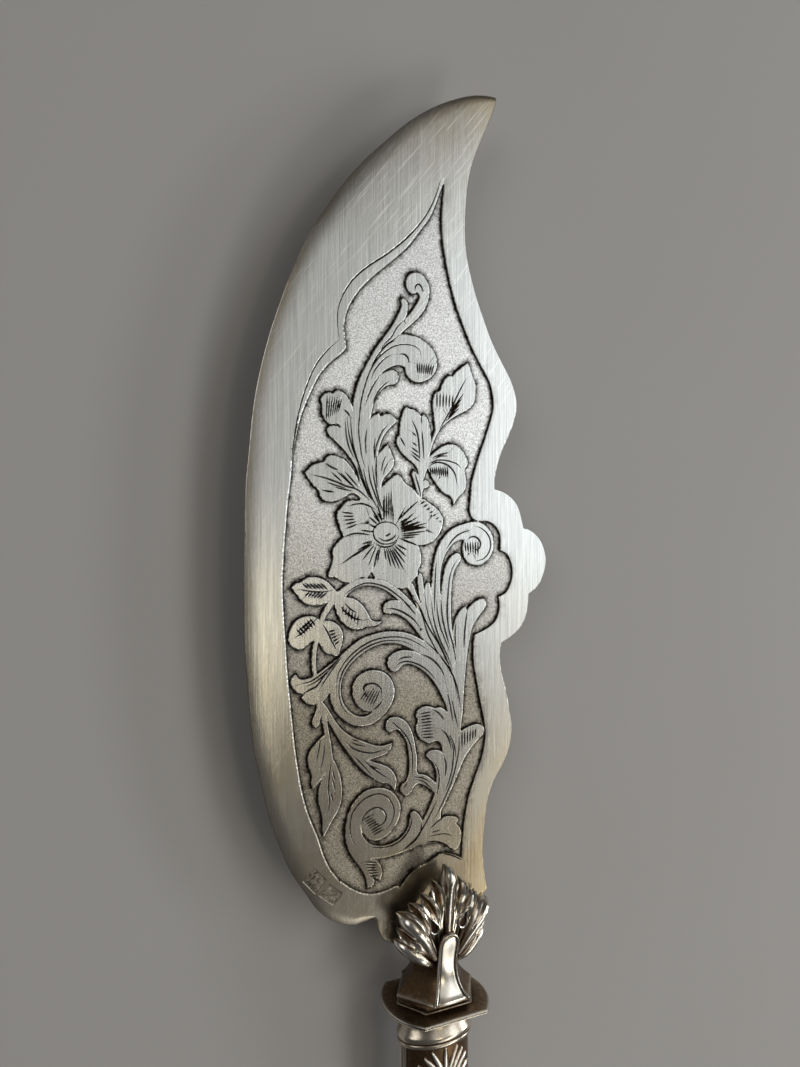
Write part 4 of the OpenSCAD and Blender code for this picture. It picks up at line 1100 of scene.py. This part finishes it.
class Shape:
    """Points, faces and tarnish of one cast piece, gathered from its parts."""

    def __init__(self):
        self.verts, self.faces, self.tone = [], [], []

    def grid(self, rows, tones, wrap=False):
        """Faces between rows of equally many points."""
        first, n = len(self.verts), len(rows[0])
        for row, tone in zip(rows, tones):
            self.verts += [tuple(p) for p in row]
            self.tone += list(tone)
        for i in range(len(rows) - 1):
            for j in range(n if wrap else n - 1):
                a, b = first + i * n + j, first + i * n + (j + 1) % n
                self.faces.append((a, b, b + n, a + n))
        return first

    def lid(self, first, n, flip=False):
        """One face over a ring of n points."""
        ring = list(range(first, first + n))
        self.faces.append(ring[::-1] if flip else ring)

    def build(self, name, node, material, sharp, rear=False):
        """The finished piece, mirrored to the back of the knife for a rear one."""
        side = -1 if rear else 1
        verts = [(x, y + RIM_SHIFT, AXIS_HEIGHT + side * z) for x, y, z in self.verts]
        faces = [f[::-1] for f in self.faces] if rear else self.faces
        return finish_piece(name, verts, faces, {"tarnish_and_shade": self.tone}, node, material, sharp)


def both_sides(half):
    """A section from its left half, which ends in the middle."""
    return half + [(-x, h, c) for x, h, c in half[-2::-1]]


# Sections across a leaf, left edge to middle: place, height in half-widths, and tarnish, which below
# zero stands for a place rubbed bright
RIMMED = both_sides([(-1, -0.9, 0.9), (-0.94, -0.35, 0.4), (-0.84, 0.0, -0.1), (-0.72, 0.12, -0.2), (-0.62, 0.02, 0.6),
                     (-0.54, 0.04, 0.7), (-0.4, 0.4, 0.1), (-0.2, 0.52, -0.25), (0, 0.55, -0.3)])
SCOOPED = both_sides([(-1, -0.8, 0.9), (-0.93, -0.2, 0.3), (-0.82, 0.18, -0.2), (-0.68, 0.32, -0.3),
                      (-0.52, 0.24, 0.0), (-0.36, 0.0, 0.6), (-0.18, -0.2, 1), (0, -0.28, 1)])

# Leaf lobes: knots along the middle (x, y, z), half-widths at them, and the section of the head. A
# slender round stem swells into the head, and the tip rolls over towards the blade.
LOBES = [
    ([(0, 12.5, 5.7), (0, 17, 6.1), (0, 21.3, 6.4), (0, 24.6, 6.7), (0, 27.4, 7.0), (0, 29.2, 6.2), (-0.05, 29.8, 4.0)],
     [0.8, 0.9, 1.15, 1.7, 2.05, 1.5, 0.3], RIMMED),
    ([(0.9, 12.5, 5.2), (1.45, 17, 5.5), (1.9, 20.6, 5.9), (2.4, 23.4, 6.3), (2.95, 25.8, 6.1), (3.1, 27.0, 4.2)],
     [0.5, 0.65, 1.05, 1.6, 1.4, 0.25], SCOOPED),
    ([(1.4, 12.5, 5.2), (1.8, 16, 5.4), (2.6, 19, 5.7), (3.9, 21.5, 6.4), (5.2, 23.5, 6.0), (5.8, 24.6, 4.0)],
     [0.5, 0.65, 1.0, 1.8, 1.55, 0.25], SCOOPED),
    ([(2.4, 12.0, 5.3), (4.2, 15.4, 5.4), (5.5, 18.1, 5.8), (6.7, 20.3, 6.1), (7.6, 21.9, 5.2), (8.1, 22.7, 3.2)],
     [0.6, 0.8, 1.3, 1.8, 1.5, 0.25], SCOOPED),
    ([(2.8, 10.8, 5.4), (4.3, 13.2, 6.0), (5.9, 15.8, 6.5), (7.9, 18.3, 6.5), (9.6, 20.0, 5.2), (10.6, 21.0, 2.8)],
     [0.8, 1.1, 1.4, 2.1, 2.1, 0.4], RIMMED),
    ([(3.4, 11.2, 4.6), (5.6, 13.2, 5.0), (7.9, 15.2, 5.0), (9.6, 16.8, 4.1), (10.4, 17.6, 2.4)],
     [0.6, 0.95, 1.4, 1.35, 0.25], SCOOPED),
    ([(2.3, 8.6, 4.1), (4.8, 10.2, 5.1), (7.0, 11.9, 4.9), (9.0, 13.5, 4.0), (10.3, 14.5, 2.7), (10.8, 14.9, 1.7)],
     [0.5, 1.0, 1.5, 1.75, 1.2, 0.25], RIMMED),
]

# Bowl under the lobes: place, half-width and depth
BOWL = [(6.0, 3.8, 3.8), (8.5, 4.2, 4.2), (10.5, 5.1, 4.6), (12.5, 6.8, 4.9), (14.5, 8.0, 4.9), (16.5, 8.3, 4.8),
        (18.5, 7.4, 4.9), (20.5, 5.6, 5.0), (22.5, 3.6, 5.2), (24.5, 1.6, 4.8), (25.4, 0.2, 3.4)]


def leaf(shape, knots, half_widths, section, side):
    """One lobe of the cup: a round stem that swells into a head with the section given."""
    path = resampled([(x * side, y, z, w) for (x, y, z), w in zip(knots, half_widths)], LEAF_ROWS)
    centre, across = path[:, :3], np.maximum(path[:, 3], 0.03)
    along = np.gradient(centre, axis=0)
    along /= np.linalg.norm(along, axis=1)[:, None]
    rows, tones = [], []
    for t, middle, ahead, w in zip(np.linspace(0, 1, LEAF_ROWS), centre, along, across):
        out = np.array([middle[0] * LEAF_ROUNDING, 0, 1.0])
        out -= ahead * np.dot(out, ahead)
        out /= np.linalg.norm(out)
        sideways = np.cross(ahead, out)
        root = max(0, 1 - t * 3.2)
        tip = max(0, t - 0.88) * 9
        head = min(1, max(0, (t - 0.3) / 0.3))
        shaped = [(s, h * head + (0.62 * (1 - s * s) ** 0.5 - 0.5 * abs(s) ** 6) * (1 - head),
                   c * head + (1.25 * s * s - 0.3) * (1 - head)) for s, h, c in section]
        top = [middle + sideways * s * w + out * h * w for s, h, _ in shaped]
        under = [middle + sideways * s * w + out * (h * w - 0.03 - (0.9 * w + 0.3) * (1 - s * s) ** 0.5)
                 for s, h, _ in shaped]
        rows.append(top + under[::-1])
        # 0.2 * tip darkens the last rows, where the tip rolls over towards the blade: painted shade
        tones.append([min(1, 0.8 * c - 0.1 + 0.65 * root + 0.2 * tip) for _, _, c in shaped] + [0.0] * len(under))
    n = len(rows[0])
    first = shape.grid(rows, tones, wrap=True)
    shape.lid(first, n)
    shape.lid(first + (LEAF_ROWS - 1) * n, n, flip=True)


def bowl(shape):
    """The cup behind the lobes, which shows as the dark between them."""
    turns = [math.pi * k / BOWL_SIDES for k in range(BOWL_SIDES + 1)]
    rows = [[(width * math.cos(a), y, depth * math.sin(a)) for a in turns]
            for y, width, depth in resampled(BOWL, BOWL_ROWS)]
    shape.grid(rows, [[0.0] * len(turns)] * len(rows))


# Hexagonal neck: place, half-width and half-depth, half-width of its front edge, and tarnish
NECK = [(1.38, 8.5, 6.2, 4.2, 1), (1.45, 9.1, 7.2, 4.15, 0.9), (1.6, 9.28, 7.44, 4.25, 0.4),
        (1.9, 9.3, 7.47, 4.28, 0.1), (2.05, 9.2, 7.38, 4.22, 0.2), (2.3, 8.9, 7.22, 4.08, 0.5),
        (2.7, 8.45, 7.0, 3.9, 0.6), (3.4, 7.7, 6.62, 3.55, 0.65), (4.1, 6.95, 6.2, 3.2, 0.7),
        (5.0, 6.25, 5.8, 2.85, 0.7), (6.0, 5.7, 5.45, 2.6, 0.75), (7.2, 5.3, 5.2, 2.4, 0.85),
        (9.0, 5.0, 5.0, 2.25, 0.95), (11.0, 4.9, 4.9, 2.2, 1)]


def hexagon(width, depth, front):
    """Half of a hexagon from its right corner round the front to its left corner."""
    corners = [(width, 0.0), (front, depth), (-front, depth), (-width, 0.0)]
    row = []
    for (ax, az), (bx, bz) in zip(corners, corners[1:]):
        crisp = CORNER_RUN / math.hypot(bx - ax, bz - az)
        row += [(ax + (bx - ax) * t, az + (bz - az) * t) for t in (crisp, 0.33, 0.67, 1 - crisp)]
    return row


def neck(shape):
    rows = [[(width, y, 0)] + [(x, y, z) for x, z in hexagon(width, depth, front)] + [(-width, y, 0)]
            for y, width, depth, front, _ in NECK]
    shape.grid(rows, [[dark] * len(rows[0]) for *_, dark in NECK])


# Shield-shaped tongue on the front facet: place, half-width and height
TONGUE = [(2.0, 4.25, 7.75), (2.4, 4.2, 7.8), (2.8, 3.85, 7.4), (3.5, 3.4, 6.95), (4.6, 2.95, 6.45), (6.0, 2.6, 6.05),
          (7.6, 2.38, 5.85), (9.6, 2.3, 5.95), (11.6, 2.38, 6.3), (13.4, 2.45, 6.7), (14.7, 2.2, 6.95),
          (15.5, 1.75, 7.05), (16.0, 1.1, 7.1), (16.2, 0.3, 7.1)]


# Rings of its border from the edge in: inset, rise over the table's height, tarnish
TONGUE_BORDER = [(0.0, -0.75, 1.0), (0.0, -0.2, 0.3), (0.04, 0.02, -0.2), (0.15, 0.16, -0.4), (0.3, 0.2, -0.4),
                 (0.44, 0.12, -0.3), (0.52, -0.04, 0.6), (0.58, -0.12, 1.0), (0.66, -0.1, 1.0), (0.76, -0.04, 0.0),
                 (1.05, -0.02, -0.1)]


def tongue(shape):
    """A satin field inside a raised bright border, standing a little proud of the facet."""
    side = resampled(TONGUE, TONGUE_ROWS)
    right = [(x, y) for y, x, _ in side]
    loop = np.array(right + [(-x, y) for x, y in right[::-1]])
    rows, tones = [], []
    for inset, rise, dark in TONGUE_BORDER:
        moved = offset(loop, -inset)
        moved[:, 1] = np.where(loop[:, 1] < 2.05, 1.9 + 0.2 * inset, moved[:, 1])
        z = np.interp(moved[:, 1], side[:, 0], side[:, 2]) + rise
        rows.append([(x, y, h) for (x, y), h in zip(moved, z)])
        tones.append([dark] * len(rows[-1]))
    shape.grid(rows, tones, wrap=True)
    last = np.array(rows[-1])
    steps = np.linspace(0, 1, 9)
    field = []
    for a, b in zip(last[:len(last) // 2], last[:len(last) // 2 - 1:-1]):
        swell = TONGUE_SWELL * (a[0] - b[0]) / 6
        field.append([a + (b - a) * t + np.array([0, 0, swell * 6.75 * t * t * (1 - t)]) for t in steps])
    shape.grid(field, [[-0.2] * len(steps)] * len(field))


def eyelet(shape, side):
    """Drop-shaped hole between two lobes, round below and pointed above, with a bright raised rim; the hole is a
    shallow dish painted dark as shade.
    """
    centre = np.array([3.75 * side, 18.4, 6.25])
    lean = math.radians(23 * side)
    wire = [2 * math.pi * j / EYELET_WIRE_SIDES for j in range(EYELET_WIRE_SIDES)]
    rows = []
    for k in range(EYELET_SIDES):
        a = 2 * math.pi * k / EYELET_SIDES
        x = 0.78 * math.sin(a) * (1 - 0.8 * math.cos(a))
        y = 1.95 * math.cos(a)
        flat = np.array([x * math.cos(lean) + y * math.sin(lean), -x * math.sin(lean) + y * math.cos(lean)])
        spot = centre + np.array([flat[0], flat[1], -0.12 * flat[0] * side + 0.02 * flat[1]])
        out = np.array([flat[0], flat[1], 0]) / max(np.linalg.norm(flat), 1e-6)
        rows.append([spot + out * EYELET_WIRE * math.cos(b) + np.array([0, 0, EYELET_RISE * math.sin(b)])
                     for b in wire])
    shape.grid(rows + rows[:1], [[-0.25] * len(wire)] * (len(rows) + 1), wrap=True)
    # the hole is only 0.3 mm deep and coloured as full oxide: painted shade stands for its depth
    first = len(shape.verts)
    shape.verts += [tuple(np.mean(row, axis=0)) for row in rows] + [tuple(centre - np.array([0, 0, 0.3]))]
    shape.tone += [1.0] * (EYELET_SIDES + 1)
    for k in range(EYELET_SIDES):
        shape.faces.append((first + k, first + (k + 1) % EYELET_SIDES, first + EYELET_SIDES))


def build_bolster(rear):
    shape = Shape()
    neck(shape)
    bowl(shape)
    for knots, half_widths, section in LOBES:
        for side in (1,) if knots[-1][0] == 0 else (-1, 1):
            leaf(shape, knots, half_widths, section, side)
    for side in (-1, 1):
        eyelet(shape, side)
    tongue(shape)
    face = "rear" if rear else "front"
    return shape.build(f"bolster_{face}_cast", f"bolster_{face}_half", SILVER_CAST, sharp=30, rear=rear)


def plate_ring(inset, y):
    """Outline of the plate, drawn in: straight front and back edges joined by wide arcs."""
    width, depth, front = (v - 2 * inset for v in (PLATE_WIDTH, PLATE_DEPTH, PLATE_FRONT))
    front += 0.9 * inset
    bow = (width - front) / 2
    radius = (depth * depth / 4 + bow * bow) / (2 * bow)
    half_turn = math.asin(depth / 2 / radius)
    middle = width / 2 - radius
    ring = []
    for sign in (1, -1):
        ring += [(sign * (middle + radius * math.cos(a)), y, sign * radius * math.sin(a))
                 for a in np.linspace(-half_turn, half_turn, 25)]
        ring += [(sign * x, y, sign * depth / 2) for x in np.linspace(front / 2, -front / 2, 9)[1:-1]]
    return ring


# Plate from its underside up: inset, place, tarnish
PLATE = [(6.5, -2.2, 1), (3.7, -2.2, 1), (3.4, -2.05, 0.9), (2.6, -1.75, 0.85), (1.6, -1.45, 0.8), (0.7, -1.22, 0.75),
         (0.22, -1.12, 0.5), (0.04, -1.06, 0.0), (0.0, -0.98, -0.3), (0.0, -0.9, 0.0), (0.08, -0.82, 0.9),
         (0.08, -0.76, 0.9), (0.0, -0.68, 0.0), (0.0, -0.52, -0.2), (0.05, -0.4, -0.3), (0.18, -0.34, 0.0),
         (0.5, -0.28, 0.5), (1.0, -0.2, 0.55), (2.0, -0.02, 0.6), (2.8, 0.08, 0.7), (3.6, 0.12, 0.9), (6.0, 0.12, 1)]
# Low hexagonal step on it, with the groove under the neck: place, half-width, half-depth, front, tarnish
PLATE_STEP = [(-0.6, 9.3, 6.6, 5.6, 1), (0.05, 9.28, 6.58, 5.55, 0.75), (0.24, 9.22, 6.52, 5.5, 0.45),
              (0.34, 9.12, 6.42, 5.42, 0.25), (0.4, 8.95, 6.28, 5.3, 0.4), (0.42, 8.6, 5.95, 5.0, 0.6),
              (0.8, 8.2, 5.7, 4.6, 0.7), (1.38, 8.2, 5.7, 4.4, 0.9)]


def build_plate():
    shape = Shape()
    rows = [plate_ring(inset, y) for inset, y, _ in PLATE]
    first = shape.grid(rows, [[c] * len(rows[0]) for _, _, c in PLATE], wrap=True)
    shape.lid(first, len(rows[0]), flip=True)
    rows = []
    for y, width, depth, front, _ in PLATE_STEP:
        half = hexagon(width, depth, front)
        rows.append([(x, y, z) for x, z in half] + [(-x, y, -z) for x, z in half])
    shape.grid(rows, [[dark] * len(rows[0]) for *_, dark in PLATE_STEP], wrap=True)
    return shape.build("bolster_plate_cast", "bolster_plate", SILVER_CAST, sharp=38)


# Ferrule from the plate down: place, half-width, half-depth, tarnish
FERRULE = [(-2.2, 7.6, 4.75, 1), (-2.7, 7.5, 4.7, 0.9), (-3.4, 7.5, 4.7, 0.5), (-4.1, 7.65, 4.8, 0.3),
           (-4.8, 7.9, 4.97, 0.2), (-5.4, 8.22, 5.2, 0.15), (-5.9, 8.55, 5.43, 0.1), (-6.35, 8.8, 5.62, 0.0),
           (-6.75, 8.88, 5.68, 0.0), (-7.1, 8.85, 5.66, 0.15), (-7.4, 8.72, 5.57, 0.5), (-7.55, 8.5, 5.42, 1),
           (-7.64, 8.36, 5.32, 1), (-7.72, 8.5, 5.42, 0.6), (-7.9, 8.64, 5.52, 0.1), (-8.15, 8.68, 5.55, 0.0),
           (-8.4, 8.62, 5.51, 0.2), (-8.62, 8.5, 5.42, 0.7), (-8.8, 8.25, 5.25, 1)]


def build_oval(table, name, node, material):
    """A closed piece with oval sections."""
    turns = [2 * math.pi * k / OVAL_SIDES for k in range(OVAL_SIDES)]
    rows = [[(width * math.cos(a), y, thickness * math.sin(a)) for a in turns] for y, width, thickness, _ in table]
    shape = Shape()
    first = shape.grid(rows, [[dark] * OVAL_SIDES for *_, dark in table], wrap=True)
    shape.lid(first, OVAL_SIDES)
    shape.lid(first + (len(rows) - 1) * OVAL_SIDES, OVAL_SIDES, flip=True)
    return shape.build(name, node, material, sharp=40)


# ---------------------------------------------------------------- the handle

HANDLE_START = -8.8
SHELL_LENGTH = 102.0
NECK_HALF = (8.2, 5.3)      # half-width and half-thickness at the neck
BUTT_HALF = (10.98, 9.36)   # and at the butt
CAP_HALF = (11.5, 9.8)
SHELL_SIDES, SHELL_ROWS = 136, 440
STAMP_LIFT = 0.42           # how far the stamped ornament stands up
REED_LIFT = 0.32
STAMP_STEPS = 26            # points along a stamped leaf


def fan(base, tip_rows):
    """Leaves of a palmette that spring from one base: each tip with its bend and half-width."""
    leaves = []
    for tip, bend, width in tip_rows:
        for side in (1, -1) if tip[0] else (1,):
            leaves.append(([base, (bend[0] * side, bend[1]), (tip[0] * side, tip[1])],
                           [width * share for share in (0.35, 0.7, 1, 0.95, 0.45)]))
    return leaves


# Stamped leaves on a half shell, in mm across from its middle and down from its top edge
NECK_PALMETTE = fan((0, 9.0), [
    ((0.0, 0.55), (0.0, 4.5), 0.5), ((2.7, 0.9), (1.0, 4.6), 0.5), ((4.2, 2.0), (2.2, 4.6), 0.52),
    ((5.6, 3.6), (3.4, 5.2), 0.52), ((6.9, 5.6), (4.4, 6.6), 0.55), ((7.0, 8.4), (4.2, 8.4), 0.55),
])
HUSKS = [leaf for k in range(5) for leaf in fan((0, 9.6 + 7.0 * k), [
    ((0.0, 17.0 + 7.0 * k), (0.0, 13.0 + 7.0 * k), 0.9 - 0.1 * k),
    ((2.0 - 0.24 * k, 15.2 + 7.0 * k), (2.3 - 0.26 * k, 11.6 + 7.0 * k), 0.62 - 0.07 * k),
])]
BUTT_ACANTHUS = fan((0, 99.5), [
    ((0.0, 70), (0.0, 84), 1.35), ((2.9, 75), (2.7, 87), 1.1), ((5.6, 79.5), (4.9, 89), 1.1),
    ((8.2, 84.5), (6.8, 91), 1.1), ((10.3, 90), (8.2, 94), 1.05), ((11.4, 95.5), (7.6, 97.5), 1.0),
])
# Reeds along the seams: place and half-width, as shares of the way from the middle to the seam
SEAM_REEDS = [(0.93, 0.034), (0.86, 0.028)]


def stamped(across, along, leaves):
    """Height and tarnish that a set of gutter-shaped leaves gives at every point."""
    height, dark = np.zeros(across.shape), np.zeros(across.shape)
    steps = np.linspace(0, 1, STAMP_STEPS)
    for knots, widths in leaves:
        rows = resampled(knots, STAMP_STEPS)
        half = np.interp(steps, np.linspace(0, 1, len(widths)), widths)
        low, high = rows.min(axis=0) - 3, rows.max(axis=0) + 3
        near = (across > low[0]) & (across < high[0]) & (along > low[1]) & (along < high[1])
        dx = across[near][:, None] - rows[None, :, 0]
        dy = along[near][:, None] - rows[None, :, 1]
        q = (np.hypot(dx, dy) / half[None, :]).min(axis=1)
        body = np.sqrt(np.clip(1 - q * q, 0, 1))
        lift = STAMP_LIFT * body * half.max() ** 0.5
        tone = np.where(q < 1, np.clip(0.9 - 1.7 * body, -0.3, 1), 0)
        halo = np.clip(2.2 - q, 0, 1) * (q >= 1)
        old, old_dark = height[near], dark[near]
        over = lift > old
        height[near] = np.where(over, lift, old)
        dark[near] = np.where(over, tone, np.where(old > 0, old_dark, np.maximum(old_dark, halo)))
    return height, dark


def build_handle(rear):
    share, turn = np.meshgrid(np.linspace(0, 1, SHELL_ROWS + 1), np.linspace(0, np.pi, SHELL_SIDES + 1), indexing="ij")
    ease = share * share * (3 - 2 * share)
    width, thick = (a + ease * (b - a) for a, b in zip(NECK_HALF, BUTT_HALF))
    along = share * SHELL_LENGTH
    across = 2 * turn / np.pi - 1
    half_arc = np.pi / 4 * (1.5 * (width + thick) - np.sqrt(width * thick))
    height, dark = stamped(across * half_arc, along, NECK_PALMETTE + HUSKS + BUTT_ACANTHUS)
    edge = np.abs(across)
    gap = (edge > 0.80) & (edge < 0.97)
    for place, run in SEAM_REEDS:
        away = np.abs(edge - place)
        height = np.maximum(height, REED_LIFT * fade(away, run) ** 0.5)
        dark = np.where(away < run * 0.95, -0.15, dark)
        gap &= away > run * 0.9
    dark = np.where(gap, 1.0, dark)
    # the field is darkest round the palmettes
    field = np.clip(1.2 - along / 14, 0, 0.75) + np.clip((along - 84) / 16, 0, 0.6)
    dark = np.where((height < 0.02) & ~gap, np.maximum(dark, field), dark)
    rise = height - STAMP_LIFT
    places = np.stack([(width + rise) * np.cos(turn), HANDLE_START - along, (thick + rise) * np.sin(turn)], axis=2)
    shape = Shape()
    shape.grid(places[::-1], dark[::-1])
    face = "rear" if rear else "front"
    return shape.build(f"handle_{face}_stamped", f"handle_{face}_shell", SILVER_HANDLE, sharp=60,
                       rear=rear)


# Butt cap from the shells down: place from the end of the shells, share of the butt, tarnish
CAP = [(0, 0.95, 1), (0.2, 0.955, 1), (0.5, 0.975, 0.4), (0.9, 0.995, 0.05), (1.4, 1, 0), (1.9, 0.995, 0.05),
       (2.3, 0.975, 0.4), (2.6, 0.955, 1), (2.9, 0.95, 1), (3.2, 0.955, 0.4), (4.2, 0.94, 0), (5.6, 0.89, 0),
       (7.0, 0.79, 0), (8.2, 0.65, 0), (9.1, 0.48, 0.02), (9.6, 0.34, 0.05), (9.85, 0.22, 0.1), (9.97, 0.1, 0.1),
       (10, 0.01, 0.1)]


def butt_cap():
    return [(HANDLE_START - SHELL_LENGTH - y, share * CAP_HALF[0], share * CAP_HALF[1], dark)
            for y, share, dark in resampled(CAP, 80)]


for name, material in (("tang", forged_steel()), ("handle_filling", pitch_cement())):
    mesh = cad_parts[name].data
    mesh.materials.clear()
    mesh.materials.append(material)

build_blade()
for rear in (False, True):
    build_bolster(rear)
    build_handle(rear)
build_plate()
build_oval(resampled(FERRULE, 74), "neck_ferrule_turned", "neck_ferrule", SILVER_CAST)
build_oval(butt_cap(), "butt_cap_stamped", "handle_end_cap", SILVER_HANDLE)


# ---------------------------------------------------------------- floor, camera and light

FLOOR_WIDTH = 6.0
SENSOR = 36                 # on the longer side of the picture, in mm


def build_floor():
    half = FLOOR_WIDTH / 2
    mesh = bpy.data.meshes.new("floor")
    mesh.from_pydata([(-half, -half, 0), (half, -half, 0), (half, half, 0), (-half, half, 0)], [], [(0, 1, 2, 3)])
    mesh.materials.append(floor_paper())
    floor = bpy.data.objects.new("floor", mesh)
    bpy.context.scene.collection.objects.link(floor)


def build_camera():
    data = bpy.data.cameras.new("photo camera")
    data.sensor_width = SENSOR
    data.lens = SENSOR * FOCAL_PX / IMAGE_HEIGHT
    data.clip_start, data.clip_end = 0.01, 10
    camera = bpy.data.objects.new("photo camera", data)
    bpy.context.scene.collection.objects.link(camera)
    ahead = Vector((SIN_TURN, 0, -COS_TURN))
    right = Vector((COS_TURN, 0, SIN_TURN))
    place = Vector((0, 0, AXIS_HEIGHT)) - VIEW_DISTANCE * ahead - VIEW_OFFSET * right
    place.y = VIEW_ALONG + RIM_SHIFT
    camera.location = place * MM
    camera.rotation_euler = Matrix((right, (0, 1, 0), -ahead)).transposed().to_euler()
    bpy.context.scene.camera = camera


def area_light(name, place, target, size, power, colour):
    """Rectangular lamp aimed at a point; its size is its width across the knife, then its length along it."""
    data = bpy.data.lights.new(name, "AREA")
    data.shape = "RECTANGLE"
    data.size_y, data.size = size
    data.energy = power
    data.color = linear(colour)[:3]
    lamp = bpy.data.objects.new(name, data)
    lamp.location = place
    lamp.rotation_mode = "QUATERNION"
    lamp.rotation_quaternion = (Vector(target) - Vector(place)).to_track_quat("-Z", "Y")
    bpy.context.scene.collection.objects.link(lamp)


def build_light():
    area_light("window", (0.655, 0.28, 0.76), (0, 0.28, 0), (0.34, 0.84), 1.4, "#F8FCFF")
    area_light("ceiling", (0.34, 0.30, 0.92), (0, 0.25, 0), (0.8, 0.62), 0.8, "#FFFCF6")
    area_light("far window", (0.50, 0.86, 0.84), (0, 0.18, 0), (0.4, 0.3), 0.13, "#FFF2E0")
    area_light("skylight", (0.21, -0.08, 1.05), (0, 0.08, 0), (0.15, 0.22), 0.32, "#FFF1D2")
    area_light("low window", (0.565, -0.45, 0.70), (0, -0.2, 0), (0.17, 0.55), 1.15, "#FFF9EE")
    area_light("near window", (0.39, -0.75, 0.70), (0, 0.02, 0), (0.42, 0.34), 0.56, "#FFFBF2")
    area_light("side window", (0.92, -0.06, 0.40), (0, -0.06, 0), (0.16, 0.5), 1.8, "#FFFFFF")
    area_light("far wall", (-0.75, 0.5, 0.7), (0, 0.1, 0), (0.5, 0.7), 1.5, "#FFFDF8")
    world = bpy.data.worlds.new("studio")
    bpy.context.scene.world = world
    world.use_nodes = True
    tree = world.node_tree
    tree.nodes.clear()
    back = add(tree, "Background", {"Color": "#8F8D8C", "Strength": 0.22})
    add(tree, "OutputWorld", {"Surface": back})


build_floor()
build_camera()
build_light()
bpy.context.scene.view_settings.view_transform = "Standard"
